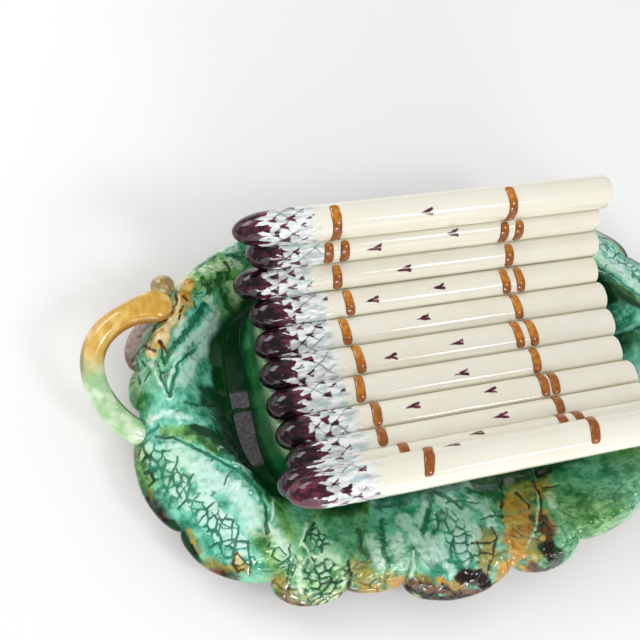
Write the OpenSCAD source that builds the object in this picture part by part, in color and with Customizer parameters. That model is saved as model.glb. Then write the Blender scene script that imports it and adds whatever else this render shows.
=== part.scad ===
// Asparagus plate: a cradle of eleven earthenware spears on a stand, set in a dish of ten
// curled leaves with a twig handle at each end.
// The spears run along X with their tips at -X. The origin is on the table, under the middle
// of the dish. The cradle stands a little off that middle, towards +Y.

/* [Cradle] */
// Radius of one spear
spear_r = 9.75; // [9.3:0.05:10.2]
// Distance between the centres of two neighbouring spears
spear_pitch = 17.64; // [17:0.02:18]
// Half length of the cradle, from its middle to the shorter tips
cradle_half_len = 106; // [96:1:112]
// How far the longest tips reach past the shorter ones
tip_lead = 8; // [0:0.5:12]
// Length of the rounded nose of a spear
nose_len = 15; // [10:0.5:22]
// Radius of the edge round the cut butt of a spear
butt_round = 2; // [1:0.25:4]
// Height of the centre line of the lowest spears over the table
cradle_z = 50; // [46:0.5:60]
// How far the cradle stands off the middle of the dish
cradle_shift = 10; // [4:0.5:12]

/* [Ties] */
// Distance from the middle of the cradle to each row of ties
tie_x = 52; // [40:1:70]
// How far single ties lie off their row
tie_stray = 10; // [0:0.5:12]
// Width of a tie
tie_w = 5.6; // [4:0.1:7]
// Height of a tie over its spear
tie_t = 0.7; // [0.4:0.1:1.2]
// How far the ends of a tie stay short of the joints between spears
tie_end_gap = 2; // [1.8:0.1:3]

/* [Stand] */
// How far the ends of the stand lie in from the shorter tips
stand_inset = 2.5; // [1:0.25:8]
// How far the sides of the stand lie in from the centre lines of the rim spears
stand_side_inset = 11; // [7:0.5:16]
// Thickness of the wall of the stand
stand_t = 7; // [5:0.5:10]
// How far the foot of the stand flares out
stand_flare = 6; // [2:0.5:8]

/* [Dish] */
// Width of the valley between the shorter tips and the leaves
end_valley_w = 14; // [11:0.5:20]
// Width of the valley between the top of the stand and the leaves at the sides
side_valley_w = 9; // [7:0.5:13]
// How far the leaves at the ends reach, from the well to the notches of the rim
end_leaf_reach = 56; // [48:1:70]
// How far the leaves at the sides reach, from the well to the notches of the rim
side_leaf_reach = 45; // [40:1:55]
// Thickness of the floor
floor_t = 6; // [4:0.5:9]
// Height of the foot ring
foot_h = 4; // [2.5:0.5:7]
// Width of the foot ring
foot_w = 9; // [6:0.5:14]
// How far the foot ring lies in from the edge of the well
foot_inset = 12; // [6:1:24]

/* [Leaves] */
// Thickness of a leaf
leaf_t = 5.5; // [4:0.25:8]
// Height of the curled ridge over the floor at the ends of the dish
ridge_rise = 32; // [22:1:38]
// How far the edge of a leaf droops under its ridge at the ends of the dish
edge_drop = 14; // [6:0.5:18]
// How far a full lobe reaches out past the notches
lobe_out = 12; // [4:0.5:16]
// How far a full lobe droops
lobe_droop = 3; // [0:0.5:6]
// How far the laid end of a leaf stands over its neighbour
leaf_lap = 2.5; // [0:0.25:4]
// Height of the soft lumps on a leaf
lump_rise = 1.4; // [0:0.1:2]

/* [Handles] */
// Radius of a twig handle
handle_r = 6.7; // [5:0.1:8]
// How far a handle reaches out past the notches of the rim
handle_reach = 20; // [16:0.5:26]
// How far the upper arm of a handle leans towards its lower end
handle_lean = 3; // [0:0.5:8]
// How far the lower arm of a handle starts to bend before its lower end
handle_bend = 9; // [5:0.5:14]
// Radius of the bud beside the upper end of a handle
bud_r = 6; // [4:0.1:7]

/* [Hidden] */

cream = "#ded7c4";
turquoise = "#7fae9b";
leaf_green = "#4f8f5a";
deep_green = "#1e5a31";
amber = "#c98e3c";
twig_yellow = "#d9a94f";
tie_brown = "#a8692a";
unglazed = "#8a7766";

// Luting line left between two pieces that meet on a curved face
seam = 0.15;
// Sides of a round spear, steps along its nose, and the angle between two columns of a leaf
spear_fn = 48;
nose_steps = 6;
column_step = 3;
// Steps of a leaf on each side of its ridge
leaf_steps = 6;
// Sides and rings of a handle, and how thin it is at its two ends
handle_sides = 12;
handle_rings = 26;
end_nip_share = 0.7;
// How far out the two middle points of a handle's curve lie, as shares of its reach
handle_pull_shares = [2.25, 0.95];
// How far the bud lies out along its handle, how deep it sinks into it and how far it rises,
// as shares of its radius, and its sides
bud_lead_share = 0.8;
bud_sink_share = 0.65;
bud_lift_share = 0.35;
bud_sides = 24;
// Steps of the flared foot of the stand
flare_steps = 5;
// Waves of the two patterns that make the lumps, round the dish, and their slant across a leaf
lump_waves = [15, 25];
lump_slants = [100, -140];

// How square the ovals of the rim, the well and the stand are: 2 is an ellipse
rim_power = 2.6;
well_power = 3.5;
stand_power = 5;

floor_z = foot_h + floor_t;

// Slope of the line from each spear to the next one out, from the middle of the cradle
spear_slopes = [0, 9, 24, 44, 66];
side_count = len(spear_slopes);
// How far each tip leads or trails the shorter ones, far spear first
tip_lead_shares = [1, 0, 1, 0.15, 0.2, 0.25, 0.2, 0.05, -0.1, 1, 0.9];
// How far each butt is cut back, far spear first
butt_cut_shares = [0, 0.3, 0.1, 0.4, 0.2, 0.3, 0.5, 0.2, 0.4, 0.1, 0.3];
// Where the ties of each spear lie off their row, far spear first
tip_tie_shares = [
  [-0.55], [-0.9, 0.05], [-0.4], [0.1], [-0.4], [0], [-0.35], [0.15], [-0.1], [0.5], [0.9]];
butt_tie_shares = [
  [-0.4], [-0.5, 0.45], [-0.05], [-0.45, 0.5], [-0.05], [-0.55, 0.4], [0.05], [-0.1, 0.6],
  [0.1], [-0.5, 0.45], [0.1]];
// Angle that a tie covers on a rim spear
rim_tie_angle = 150;

// Place of a spear across the cradle: 0 is the middle one, positive is towards +Y
function run(k) = k == 0 ? [0, 0]
  : run(k - 1) + spear_pitch * [cos(spear_slopes[k - 1]), sin(spear_slopes[k - 1])];
function spear_y(k) = cradle_shift + sign(k) * run(abs(k))[0];
function spear_z(k) = cradle_z + run(abs(k))[1];
// Slope of the joint on the outer and on the inner side of a spear
function outer_slope(k) = spear_slopes[min(abs(k), side_count - 1)];
function inner_slope(k) = k == 0 ? -spear_slopes[0] : spear_slopes[abs(k) - 1];

// The stand is laid out under the cradle, the well round the stand, and the rim round the well
stand_half_wid = run(side_count)[0] - stand_side_inset;
well_half_len = cradle_half_len + end_valley_w;
well_half_wid = stand_half_wid + side_valley_w;
dish_half_len = well_half_len + end_leaf_reach;
dish_half_wid = well_half_wid + side_leaf_reach;

function oval_r(a, b, power, angle) =
  pow(pow(abs(cos(angle)) / a, power) + pow(abs(sin(angle)) / b, power), -1 / power);
function turned(r, angle) = [r * cos(angle), r * sin(angle)];

// The well, the foot ring and the stand are ovals round the cradle's own middle
function well_point(angle, inset = 0) = [0, cradle_shift]
  + turned(oval_r(well_half_len - inset, well_half_wid - inset, well_power, angle), angle);
function oval_ring(inset) = [for (a = [0 : column_step : 359]) well_point(a, inset)];

// The leaves round half of the dish, each with the angles where it starts and ends, how far out
// its ridge lies at the start, middle and end, how high that ridge is and how far its edge
// droops, as shares of ridge_rise and edge_drop, and its lobes, each from where to where along
// the leaf and how far out as a share of lobe_out. The other half repeats them.
half_ring_shares = [
  [153, 180, [0.75, 0.66, 0.60], [1.1, 1.0], [1.2, 1.0],
    [[0, 0.22, 0.6], [0.22, 0.62, 0.75], [0.62, 0.9, 0.4]]],
  [180, 219, [0.60, 0.21, 0.62], [1.0, 0.78], [1.0, 0.7], [[0, 0.53, 0.6], [0.53, 1, 0.6]]],
  [219, 234, [0.62, 0.66, 0.72], [0.78, 0.62], [0.7, 0.4], [[0, 1, 1]]],
  [234, 279, [0.72, 0.78, 0.78], [0.62, 0.62], [0.4, 0.36], [[0, 0.3, 0.3], [0.3, 1, 1.2]]],
  [279, 333, [0.78, 0.86, 0.75], [0.62, 1.1], [0.36, 1.2],
    [[0, 0.38, 1], [0.38, 0.72, 0.35], [0.72, 1, 0.1]]]];

function mix(a, b, t) = a + (b - a) * t;
// A curve through three values, at 0, 1/2 and 1
function through3(q, t) = q[0] * (1 - t) * (1 - 2 * t) + q[1] * 4 * t * (1 - t) - q[2] * t * (1 - 2 * t);
function lobe(lobes, t) = max([for (l = lobes)
  t < l[0] || t > l[1] ? 0 : l[2] * sqrt(sin(180 * (t - l[0]) / (l[1] - l[0])))]);

// Height of the upper face of a leaf along one column, before and after its ridge
function climb(s) = (1 - cos(180 * s)) / 2;
function fall(s) = 1 - cos(90 * s);
function lump(angle, s) = lump_rise * climb(min(s, 1))
  * sin(lump_waves[0] * angle + lump_slants[0] * s) * sin(lump_waves[1] * angle + lump_slants[1] * s);
function vertical_t(rise, width) = leaf_t * sqrt(1 + pow(rise / width, 2));

// One closed column of a leaf, at a share t of the way along it and an angle round the dish
function leaf_column(leaf, angle, t) =
  let (
    reach = lobe(leaf[5], t),
    inner = well_point(angle),
    rim = turned(oval_r(dish_half_len, dish_half_wid, rim_power, angle) + reach * lobe_out, angle),
    width = norm(rim - inner) - leaf_t / 2,
    ridge_at = width * through3(leaf[2], t),
    lap = leaf_lap * pow(t, 6),
    rise = ridge_rise * mix(leaf[3][0], leaf[3][1], t),
    drop = edge_drop * mix(leaf[4][0], leaf[4][1], t) + lobe_droop * reach,
    out = (rim - inner) / norm(rim - inner),
    climbing = [for (i = [0 : leaf_steps]) let (s = i / leaf_steps)
      [ridge_at * s, floor_z + (rise + lap) * climb(s) + lump(angle, s),
       vertical_t(rise * 90 * PI / 180 * sin(180 * s), ridge_at)]],
    falling = [for (i = [1 : leaf_steps]) let (s = i / leaf_steps)
      [mix(ridge_at, width, s), floor_z + rise + lap - drop * fall(s) + lump(angle, 1 + s),
       vertical_t(drop * 90 * PI / 180 * sin(90 * s), width - ridge_at)]],
    path = concat(climbing, falling),
    edge = path[2 * leaf_steps],
    upper = [for (p = path) [inner + out * p[0], p[1]]],
    lower = [for (i = [2 * leaf_steps : -1 : 0])
      [inner + out * path[i][0], i == 0 ? foot_h : max(foot_h, path[i][1] - path[i][2])]],
    tip = [[rim, edge[1] - edge[2] / 2]])
  [for (p = concat(upper, tip, lower)) [p[0][0], p[0][1], p[1]]];

// Triangles that close a loop, laid between the points going out and those coming back
function cap(m) = [for (j = [0 : floor((m - 3) / 2)])
  each m - 2 - j == j + 1 ? [[j, j + 1, j + 2]]
    : [[j, j + 1, m - 2 - j], [j, m - 2 - j, m - 1 - j]]];

// Joins closed loops, each clockwise as seen along the way they follow one another
module skin(loops, closed = false) {
  n = len(loops);
  m = len(loops[0]);
  last = closed ? n - 1 : n - 2;
  sides = [for (i = [0 : last], j = [0 : m - 1])
    let (a = i * m + j, b = i * m + (j + 1) % m, c = ((i + 1) % n) * m + (j + 1) % m,
         d = ((i + 1) % n) * m + j)
    each [[a, d, c], [a, c, b]]];
  caps = closed ? [] : concat(cap(m), [for (f = cap(m)) [for (i = [2 : -1 : 0]) (n - 1) * m + f[i]]]);
  polyhedron(points = [for (l = loops) each l], faces = concat(sides, caps), convexity = 8);
}

module leaf(index) {
  shares = half_ring_shares[index % 5];
  turn = 180 * floor(index / 5);
  skin([for (a = [shares[0] : column_step : shares[1]])
    leaf_column(shares, a + turn, (a - shares[0]) / (shares[1] - shares[0]))]);
}

// A spear before it is cut to meet its neighbours, grown by a margin
module whole_spear(k, margin = 0) {
  place = side_count - k;
  tip = -cradle_half_len - tip_lead * tip_lead_shares[place] - margin;
  butt = cradle_half_len + tip_lead * (1 - butt_cut_shares[place]) + margin;
  r = spear_r + margin;
  nose = [for (i = [0 : nose_steps]) let (a = 90 * i / nose_steps)
    [r * sin(a), tip + nose_len * (1 - cos(a))]];
  end = [[r, butt - butt_round], [r - butt_round, butt], [0, butt]];
  translate([0, spear_y(k), spear_z(k)]) rotate([0, 90, 0])
    rotate_extrude($fn = spear_fn) polygon(concat(nose, end));
}

// The half space past the luting line between a spear and its neighbour on one side
module past_joint(k, side) {
  length = 3 * cradle_half_len;
  slope = side * k < 0 ? inner_slope(k) : outer_slope(k);
  translate([0, spear_y(k), spear_z(k)]) rotate([(k == 0 ? side : sign(k)) * slope, 0, 0])
    mirror([0, side < 0 ? 1 : 0, 0])
    translate([-length / 2, (spear_pitch - seam) / 2, -spear_pitch])
    cube([length, spear_pitch, 2 * spear_pitch]);
}

module spear(number) {
  k = side_count + 1 - number;
  color(cream) difference() {
    whole_spear(k);
    if (k < side_count) past_joint(k, 1);
    if (k > -side_count) past_joint(k, -1);
  }
}

// One tie: a flat strip bent over the open face of a spear, from near one joint to near the
// next, or on a rim spear round to its outer side
module tie(k, x) {
  rim = abs(k) == side_count;
  margin = acos(spear_pitch / 2 / spear_r) + atan(tie_end_gap / spear_r);
  first = margin - 90 - inner_slope(k);
  last = rim ? first + rim_tie_angle : 90 - outer_slope(k) - margin;
  from = k < 0 ? -last : first;
  translate([x, spear_y(k), spear_z(k)]) rotate([0, 90, 0])
    rotate([0, 0, 180 - from - (last - first)])
    rotate_extrude(angle = last - first, $fn = spear_fn)
      translate([spear_r + seam, -tie_w / 2]) square([tie_t, tie_w]);
}

module tie_row(x, shares) {
  color(tie_brown)
    for (place = [0 : len(shares) - 1])
      for (share = shares[place])
        tie(side_count - place, x + tie_stray * share);
}

module dish_floor() {
  color(unglazed) {
    translate([0, 0, foot_h]) linear_extrude(floor_t) polygon(oval_ring(0));
    linear_extrude(foot_h) difference() {
      polygon(oval_ring(foot_inset));
      polygon(oval_ring(foot_inset + foot_w));
    }
  }
}

// One column of the stand's wall: straight inside, flared to its foot outside
function stand_column(angle, top_z) =
  let (
    half_len = cradle_half_len - stand_inset,
    outer = oval_r(half_len, stand_half_wid, stand_power, angle),
    inner = oval_r(half_len - stand_t, stand_half_wid - stand_t, stand_power, angle),
    wall = [for (i = [0 : flare_steps]) let (s = i / flare_steps)
      [outer + stand_flare * pow(s, 3), mix(cradle_z - 2 * spear_r, floor_z, s)]],
    path = concat([[inner, top_z], [outer, top_z]], wall, [[inner, floor_z]]))
  [for (p = path) [p[0] * cos(angle), cradle_shift + p[0] * sin(angle), p[1]]];

// Everything that lies under the centre lines of the spears
module under_cradle() {
  length = 3 * cradle_half_len;
  span = [for (k = [-side_count : side_count]) [spear_y(k), spear_z(k)]];
  outline = concat([[span[0][0], 0]], span, [[span[2 * side_count][0], 0]]);
  translate([-length / 2, 0, 0]) rotate([90, 0, 90]) linear_extrude(length) polygon(outline);
}

module stand() {
  top_z = spear_z(side_count - 1) + spear_r;
  color(deep_green) difference() {
    intersection() {
      skin([for (a = [0 : column_step : 359]) stand_column(a, top_z)], closed = true);
      under_cradle();
    }
    for (k = [-side_count : side_count]) whole_spear(k, seam);
  }
}

// The centre line of the left handle is one cubic Bezier curve over the rim
function bezier(q, t) = pow(1 - t, 3) * q[0] + 3 * t * pow(1 - t, 2) * q[1]
  + 3 * t * t * (1 - t) * q[2] + pow(t, 3) * q[3];
function bezier_way(q, t) = pow(1 - t, 2) * (q[1] - q[0]) + 2 * t * (1 - t) * (q[2] - q[1])
  + t * t * (q[3] - q[2]);
function unit(v) = v / norm(v);

// The place of one point of the column of a leaf at an angle, counted round the column
function leaf_place(index, angle, point) =
  let (shares = half_ring_shares[index % 5], turn = 180 * floor(index / 5))
  leaf_column(shares, angle + turn, (angle - shares[0]) / (shares[1] - shares[0]))[point];

// The upper seat is on the falling side of the end leaf, between its ridge and its edge. The
// lower end butts against the rim of the corner leaf.
module handle(end_index) {
  turn = 180 * floor(end_index / 5);
  end_r = handle_r * end_nip_share;
  upper = leaf_place(end_index, half_ring_shares[0][0] + 2 * column_step, 2 * leaf_steps - 4);
  lower = leaf_place(end_index + 1, half_ring_shares[1][0] + column_step, 2 * leaf_steps + 1);
  reach = -dish_half_len * cos(turn);
  out = -cos(turn);
  route = [
    upper + [0, 0, end_r + 2 * seam],
    [reach + out * handle_reach * handle_pull_shares[0], upper[1] + out * handle_lean,
      upper[2] + handle_r],
    [reach + out * handle_reach * handle_pull_shares[1], lower[1] - out * handle_bend,
      lower[2] + handle_r],
    lower + [out * 4 * seam, 0, 0]];
  rings = [for (i = [0 : handle_rings])
    let (
      t = i / handle_rings,
      centre = bezier(route, t),
      along = unit(bezier_way(route, t)),
      left = unit(cross([0, 0, 1], along)),
      up = cross(along, left),
      r = mix(end_r, handle_r, min(1, 8 * min(t, 1 - t))))
    [for (j = [0 : handle_sides - 1]) let (a = 360 * j / handle_sides)
      centre + r * (cos(a) * left + sin(a) * up)]];
  bud = upper + [out * bud_r * bud_lead_share,
    -out * (handle_r + bud_r - bud_r * bud_sink_share), bud_r * bud_lift_share];
  color(twig_yellow) union() {
    skin(rings);
    translate(bud) sphere(bud_r, $fn = bud_sides);
  }
}

dish_floor();
stand();
spear(1);  // spear_01
spear(2);  // spear_02
spear(3);  // spear_03
spear(4);  // spear_04
spear(5);  // spear_05
spear(6);  // spear_06
spear(7);  // spear_07
spear(8);  // spear_08
spear(9);  // spear_09
spear(10);  // spear_10
spear(11);  // spear_11
tie_row(-tie_x, tip_tie_shares);  // tip_ties
tie_row(tie_x, butt_tie_shares);  // butt_ties
color(turquoise) leaf(0);  // left_end_leaf
color(turquoise) leaf(1);  // near_left_corner_leaf
color(leaf_green) leaf(2);  // near_left_small_leaf
color(turquoise) leaf(3);  // near_side_leaf
color(amber) leaf(4);  // near_right_long_leaf
color(turquoise) leaf(5);  // right_end_leaf
color(turquoise) leaf(6);  // far_right_corner_leaf
color(leaf_green) leaf(7);  // far_right_small_leaf
color(turquoise) leaf(8);  // far_side_leaf
color(leaf_green) leaf(9);  // far_left_long_leaf
handle(0);  // left_handle
handle(5);  // right_handle
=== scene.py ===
# %% [markdown]
# # An asparagus plate in coloured glazes
# A cradle of eleven earthenware spears stands in a dish of curled leaves, with a twig handle at
# each end. The solids come from the packed part. This lesson gives them their glazed skins:
# painted tips, clay ties, veined leaves with glaze gathered dark in their hollows, made darker
# still in the deepest as painted shade, and soft studio light.
# The packed part is loaded first, because every new piece is laid out in its frame.

import bpy
import numpy as np
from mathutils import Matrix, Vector


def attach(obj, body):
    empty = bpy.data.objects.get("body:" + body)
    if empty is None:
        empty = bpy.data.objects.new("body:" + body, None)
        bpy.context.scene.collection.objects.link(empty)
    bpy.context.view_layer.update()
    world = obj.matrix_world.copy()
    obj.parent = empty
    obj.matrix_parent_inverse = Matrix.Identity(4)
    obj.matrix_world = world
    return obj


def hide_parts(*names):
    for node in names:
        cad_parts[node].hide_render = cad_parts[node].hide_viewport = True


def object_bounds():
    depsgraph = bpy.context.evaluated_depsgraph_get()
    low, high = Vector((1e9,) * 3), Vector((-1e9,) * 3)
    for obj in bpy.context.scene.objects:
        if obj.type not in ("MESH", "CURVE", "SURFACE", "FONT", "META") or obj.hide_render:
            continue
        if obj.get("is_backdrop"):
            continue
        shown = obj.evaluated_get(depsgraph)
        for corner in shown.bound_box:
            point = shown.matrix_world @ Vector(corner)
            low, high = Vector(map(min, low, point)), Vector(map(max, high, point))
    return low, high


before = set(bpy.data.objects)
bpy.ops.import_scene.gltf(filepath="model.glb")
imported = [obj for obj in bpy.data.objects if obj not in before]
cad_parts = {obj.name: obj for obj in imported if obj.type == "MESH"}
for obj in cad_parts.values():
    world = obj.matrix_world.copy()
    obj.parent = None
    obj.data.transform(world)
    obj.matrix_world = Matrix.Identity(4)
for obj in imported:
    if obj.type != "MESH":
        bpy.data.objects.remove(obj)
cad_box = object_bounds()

MM = 0.001
print("nodes:", len(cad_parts))
print("box in mm:", [round(v / MM) for corner in cad_box for v in corner])

# %% [markdown]
# ## Camera
# The photograph looks down on the left end of the plate from above and in front. A camera is
# placed with three directions: where it looks, what is up and what is right in the picture.
# Written as the columns of its matrix they give place and roll in one step, with no guessing
# of angles. The focal length is measured in pixels of the square picture, because the brushwork
# below is drawn in the same pixels.

# %% Camera
PICTURE_SIDE, FOCAL_PIXELS, SENSOR_WIDTH = 640, 856.76, 36.0
camera_data = bpy.data.cameras.new("camera")
camera_data.sensor_width = SENSOR_WIDTH
camera_data.lens = FOCAL_PIXELS / PICTURE_SIDE * SENSOR_WIDTH
camera = bpy.data.objects.new("camera", camera_data)
bpy.context.scene.collection.objects.link(camera)
picture_right = Vector((0.9576, -0.2142, 0.1928)).normalized()
picture_up = Vector((0.1347, 0.9242, 0.3575)).normalized()
looks_back = picture_right.cross(picture_up)
camera_place = Vector((-191.7, -116.9, 498.8)) * MM
for row in range(3):
    camera.matrix_world[row] = (picture_right[row], picture_up[row], looks_back[row], camera_place[row])
bpy.context.scene.camera = camera
print("camera in mm:", [round(v / MM) for v in camera_place])

# %% [markdown]
# ## Shader sums
# A glaze is mostly arithmetic on masks. One small class wraps a socket, so that sums on masks
# can be written as they are on paper, and each sum adds its Math node.

# %% Shader sums
class Mask:
    """A socket that takes part in Python sums."""

    def __init__(self, tree, socket):
        self.tree = tree
        self.socket = socket

    def sum(self, operation, first, second, clamp=False):
        node = self.tree.nodes.new("ShaderNodeMath")
        node.operation = operation
        node.use_clamp = clamp
        for place, value in enumerate((first, second)):
            if isinstance(value, Mask):
                self.tree.links.new(value.socket, node.inputs[place])
            else:
                node.inputs[place].default_value = value
        return Mask(self.tree, node.outputs[0])

    def __add__(self, other):
        return self.sum("ADD", self, other)

    def __radd__(self, other):
        return self.sum("ADD", other, self)

    def __sub__(self, other):
        return self.sum("SUBTRACT", self, other)

    def __rsub__(self, other):
        return self.sum("SUBTRACT", other, self)

    def __mul__(self, other):
        return self.sum("MULTIPLY", self, other)

    def __rmul__(self, other):
        return self.sum("MULTIPLY", other, self)

    def clamp(self):
        return self.sum("ADD", self, 0.0, clamp=True)


def paint(red, green, blue):
    """A picture colour, 0 to 255, as the linear colour that nodes work in."""
    return tuple(((v / 255 + 0.055) / 1.055) ** 2.4 if v > 10 else v / 255 / 12.92
                 for v in (red, green, blue)) + (1.0,)


print("cream in linear light:", [round(v, 3) for v in paint(240, 232, 208)])

# %% [markdown]
# ## A glaze
# Every glaze here is one Principled shader: a clay colour under a thin clear coat, which gives the
# wet shine. A class starts the material and adds any other node from its type, its settings and
# its sockets. Two of its methods do most of the painting. One lays two colours in soft patches, as
# glazes mottle in the kiln. The other gives a painted mask an edge that runs in small tongues.

# %% A glaze
class Glaze:
    """A material with one Principled shader."""

    def __init__(self, name, roughness, coat=0.6, coat_roughness=0.03, specular=0.5):
        self.material = bpy.data.materials.new(name)
        self.material.use_nodes = True
        self.tree = self.material.node_tree
        self.shader = self.tree.nodes["Principled BSDF"]
        self.shader.inputs["Roughness"].default_value = roughness
        self.shader.inputs["Coat Weight"].default_value = coat
        self.shader.inputs["Coat Roughness"].default_value = coat_roughness
        self.shader.inputs["Specular IOR Level"].default_value = specular
        self.place = self.node("ShaderNodeTexCoord", out="Object")

    def fill(self, socket, value):
        if isinstance(value, Mask):
            self.tree.links.new(value.socket, socket)
        else:
            socket.default_value = value

    def node(self, kind, settings=(), values=(), out=0):
        node = self.tree.nodes.new(kind)
        for name, value in dict(settings).items():
            setattr(node, name, value)
        for name, value in dict(values).items():
            self.fill(node.inputs[name], value)
        return Mask(self.tree, node.outputs[out])

    def attribute(self, name):
        return self.node("ShaderNodeAttribute", {"attribute_name": name}, out="Fac")

    def noise(self, size_mm, detail=3.0, stretch=None, roughness=0.5):
        place = self.place
        if stretch:
            place = self.node("ShaderNodeMapping", {}, {"Vector": place, "Scale": stretch})
        return self.node("ShaderNodeTexNoise", {}, {
            "Vector": place, "Scale": 1 / (size_mm * MM), "Detail": detail, "Roughness": roughness})

    def step(self, value, low, high):
        """0 below low, 1 above high, smooth between them. High may be the lower one."""
        return self.node("ShaderNodeMapRange", {"interpolation_type": "SMOOTHSTEP"},
                         {"Value": value, "From Min": low, "From Max": high})

    def mix(self, mask, first, second):
        """The first colour where the mask is 0, the second where it is 1."""
        return self.node("ShaderNodeMix", {"data_type": "RGBA"}, {0: mask, 6: first, 7: second}, out=2)

    def mottle(self, size_mm, low, high, first, second, detail=4, stretch=None):
        """Two colours in soft patches of a size."""
        return self.mix(self.step(self.noise(size_mm, detail, stretch), low, high), first, second)

    def ragged(self, name, size_mm, low=0.3, high=0.7, much=0.6, detail=4, stretch=None):
        """A painted mask whose edge runs in small tongues, as glaze does."""
        tongues = (self.noise(size_mm, detail, stretch) - 0.5) * much
        return self.step(self.attribute(name) + tongues, low, high)

    def bump(self, height, distance_mm, strength):
        normal = self.node("ShaderNodeBump", {}, {
            "Height": height, "Distance": distance_mm * MM, "Strength": strength})
        self.fill(self.shader.inputs["Normal"], normal)

    def colour(self, value):
        self.fill(self.shader.inputs["Base Color"], value)


print("a glaze can:", [name for name in vars(Glaze) if not name.startswith("_")])

# %% [markdown]
# ## Repeatable random patterns
# Veins, lumps and brush strokes have to look made by hand and still come out the same each
# time. These functions work on whole arrays of points in mm. One gives soft lumps, another
# splits the plane into cells, as the skin of a leaf is split by its finest veins. Both take
# their luck from whole numbers, so the same place always gets the same throw.

# %% Repeatable random patterns
DICE_PRIMES, DICE_STIR = (73856093, 19349663, 83492791), 1274126177
CELL_JITTER = 0.8


def dice(i, j, k):
    """A number from 0 to 1 for each whole-number place."""
    h = (i * DICE_PRIMES[0]) ^ (j * DICE_PRIMES[1]) ^ (k * DICE_PRIMES[2])
    h = ((h ^ (h >> 13)) * DICE_STIR) & 0xFFFFFFFF
    return ((h ^ (h >> 15)) & 0xFFFF) / 65535.0


def lumps(x, y, size, seed):
    """Soft random lumps from -1 to 1, about size apart."""
    x, y = x / size, y / size
    i, j = np.floor(x).astype(np.int64), np.floor(y).astype(np.int64)
    u, v = x - i, y - j
    u, v = u * u * (3 - 2 * u), v * v * (3 - 2 * v)
    corner = [[dice(i + a, j + b, seed) for b in (0, 1)] for a in (0, 1)]
    near = corner[0][0] * (1 - u) + corner[1][0] * u
    far = corner[0][1] * (1 - u) + corner[1][1] * u
    return (near * (1 - v) + far * v) * 2 - 1


def cells(x, y, size, seed):
    """How far each point lies from the border of its cell, in mm, and a number for its cell."""
    base_i, base_j = np.floor(x / size).astype(np.int64), np.floor(y / size).astype(np.int64)
    near = [np.full(x.shape, 1e9) for _ in range(2)]
    spot = [[np.zeros(x.shape), np.zeros(x.shape)] for _ in range(2)]
    mark = np.zeros(x.shape)
    for a, b in [(a, b) for a in (-1, 0, 1) for b in (-1, 0, 1)]:
        i, j = base_i + a, base_j + b
        cx = (i + 0.5 + CELL_JITTER * (dice(i, j, seed) - 0.5)) * size
        cy = (j + 0.5 + CELL_JITTER * (dice(i, j, seed + 7) - 0.5)) * size
        d = np.hypot(x - cx, y - cy)
        first, second = d < near[0], (d >= near[0]) & (d < near[1])
        near[1] = np.where(first, near[0], np.where(second, d, near[1]))
        for axis, c in enumerate((cx, cy)):
            spot[1][axis] = np.where(first, spot[0][axis], np.where(second, c, spot[1][axis]))
            spot[0][axis] = np.where(first, c, spot[0][axis])
        near[0] = np.where(first, d, near[0])
        mark = np.where(first, dice(i, j, seed + 13), mark)
    gap = np.hypot(spot[1][0] - spot[0][0], spot[1][1] - spot[0][1]) + 1e-6
    return (near[1] ** 2 - near[0] ** 2) / (2 * gap), mark


def ease(value, low, high):
    """0 at low, 1 at high, smooth between them. High may be the lower one."""
    t = np.clip((value - low) / (high - low), 0, 1)
    return t * t * (3 - 2 * t)


def oval(half_len, half_wid, power, angle):
    """Distance from the middle to the edge of an oval. Power 2 is an ellipse, more is squarer."""
    along, across = np.cos(angle) / half_len, np.sin(angle) / half_wid
    return (np.abs(along) ** power + np.abs(across) ** power) ** (-1 / power)


print("a lump at (3, 4):", round(float(lumps(np.array([3.0]), np.array([4.0]), 5, 1)[0]), 3))

# %% [markdown]
# ## Working on a mesh
# Everything is deselected before a primitive is added, so that edit mode touches nothing else.
# Moving vertices in code is used where no operator gives the shape, and a value painted on the
# vertices lets a glaze follow the relief exactly.

# %% Working on a mesh
def fresh():
    """Leave edit mode and deselect everything."""
    if bpy.context.object and bpy.context.object.mode != "OBJECT":
        bpy.ops.object.mode_set(mode="OBJECT")
    bpy.ops.object.select_all(action="DESELECT")


def named(name):
    piece = bpy.context.object
    piece.name = piece.data.name = name
    return piece


def points(piece):
    flat = np.empty(len(piece.data.vertices) * 3)
    piece.data.vertices.foreach_get("co", flat)
    return flat.reshape(-1, 3)


def place_points(piece, array):
    piece.data.vertices.foreach_set("co", np.ascontiguousarray(array, dtype=float).ravel())
    piece.data.update()


def paint_on(piece, **values):
    for name, value in values.items():
        layer = piece.data.attributes.new(name, "FLOAT", "POINT")
        layer.data.foreach_set("value", np.ascontiguousarray(value, dtype=np.float32).ravel())


def spindle(name, rings, sides):
    """A ball whose rings can be drawn out to a rod. Gives the ring and the side of each vertex."""
    fresh()
    bpy.ops.mesh.primitive_uv_sphere_add(segments=sides, ring_count=rings, radius=1)
    piece = named(name)
    ball = points(piece)
    ring = np.rint(np.degrees(np.arccos(np.clip(ball[:, 2], -1, 1))) / 180 * rings).astype(int)
    side = np.degrees(np.arctan2(ball[:, 1], ball[:, 0]))
    return piece, ring, side


print("mode:", bpy.context.mode)

# %% [markdown]
# ## Finishing a piece
# Pieces that are luted together become one mesh by joining. A shell that was drawn out or closed
# gets its normals recalculated, so that every face looks outwards. Last come the smooth shading,
# the one material, a place under the root of the part, and the solids that the new skin dresses
# are hidden.

# %% Finishing a piece
def join_pieces(pieces, name):
    fresh()
    for piece in pieces:
        piece.select_set(True)
    bpy.context.view_layer.objects.active = pieces[0]
    bpy.ops.object.join()
    return named(name)


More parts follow.
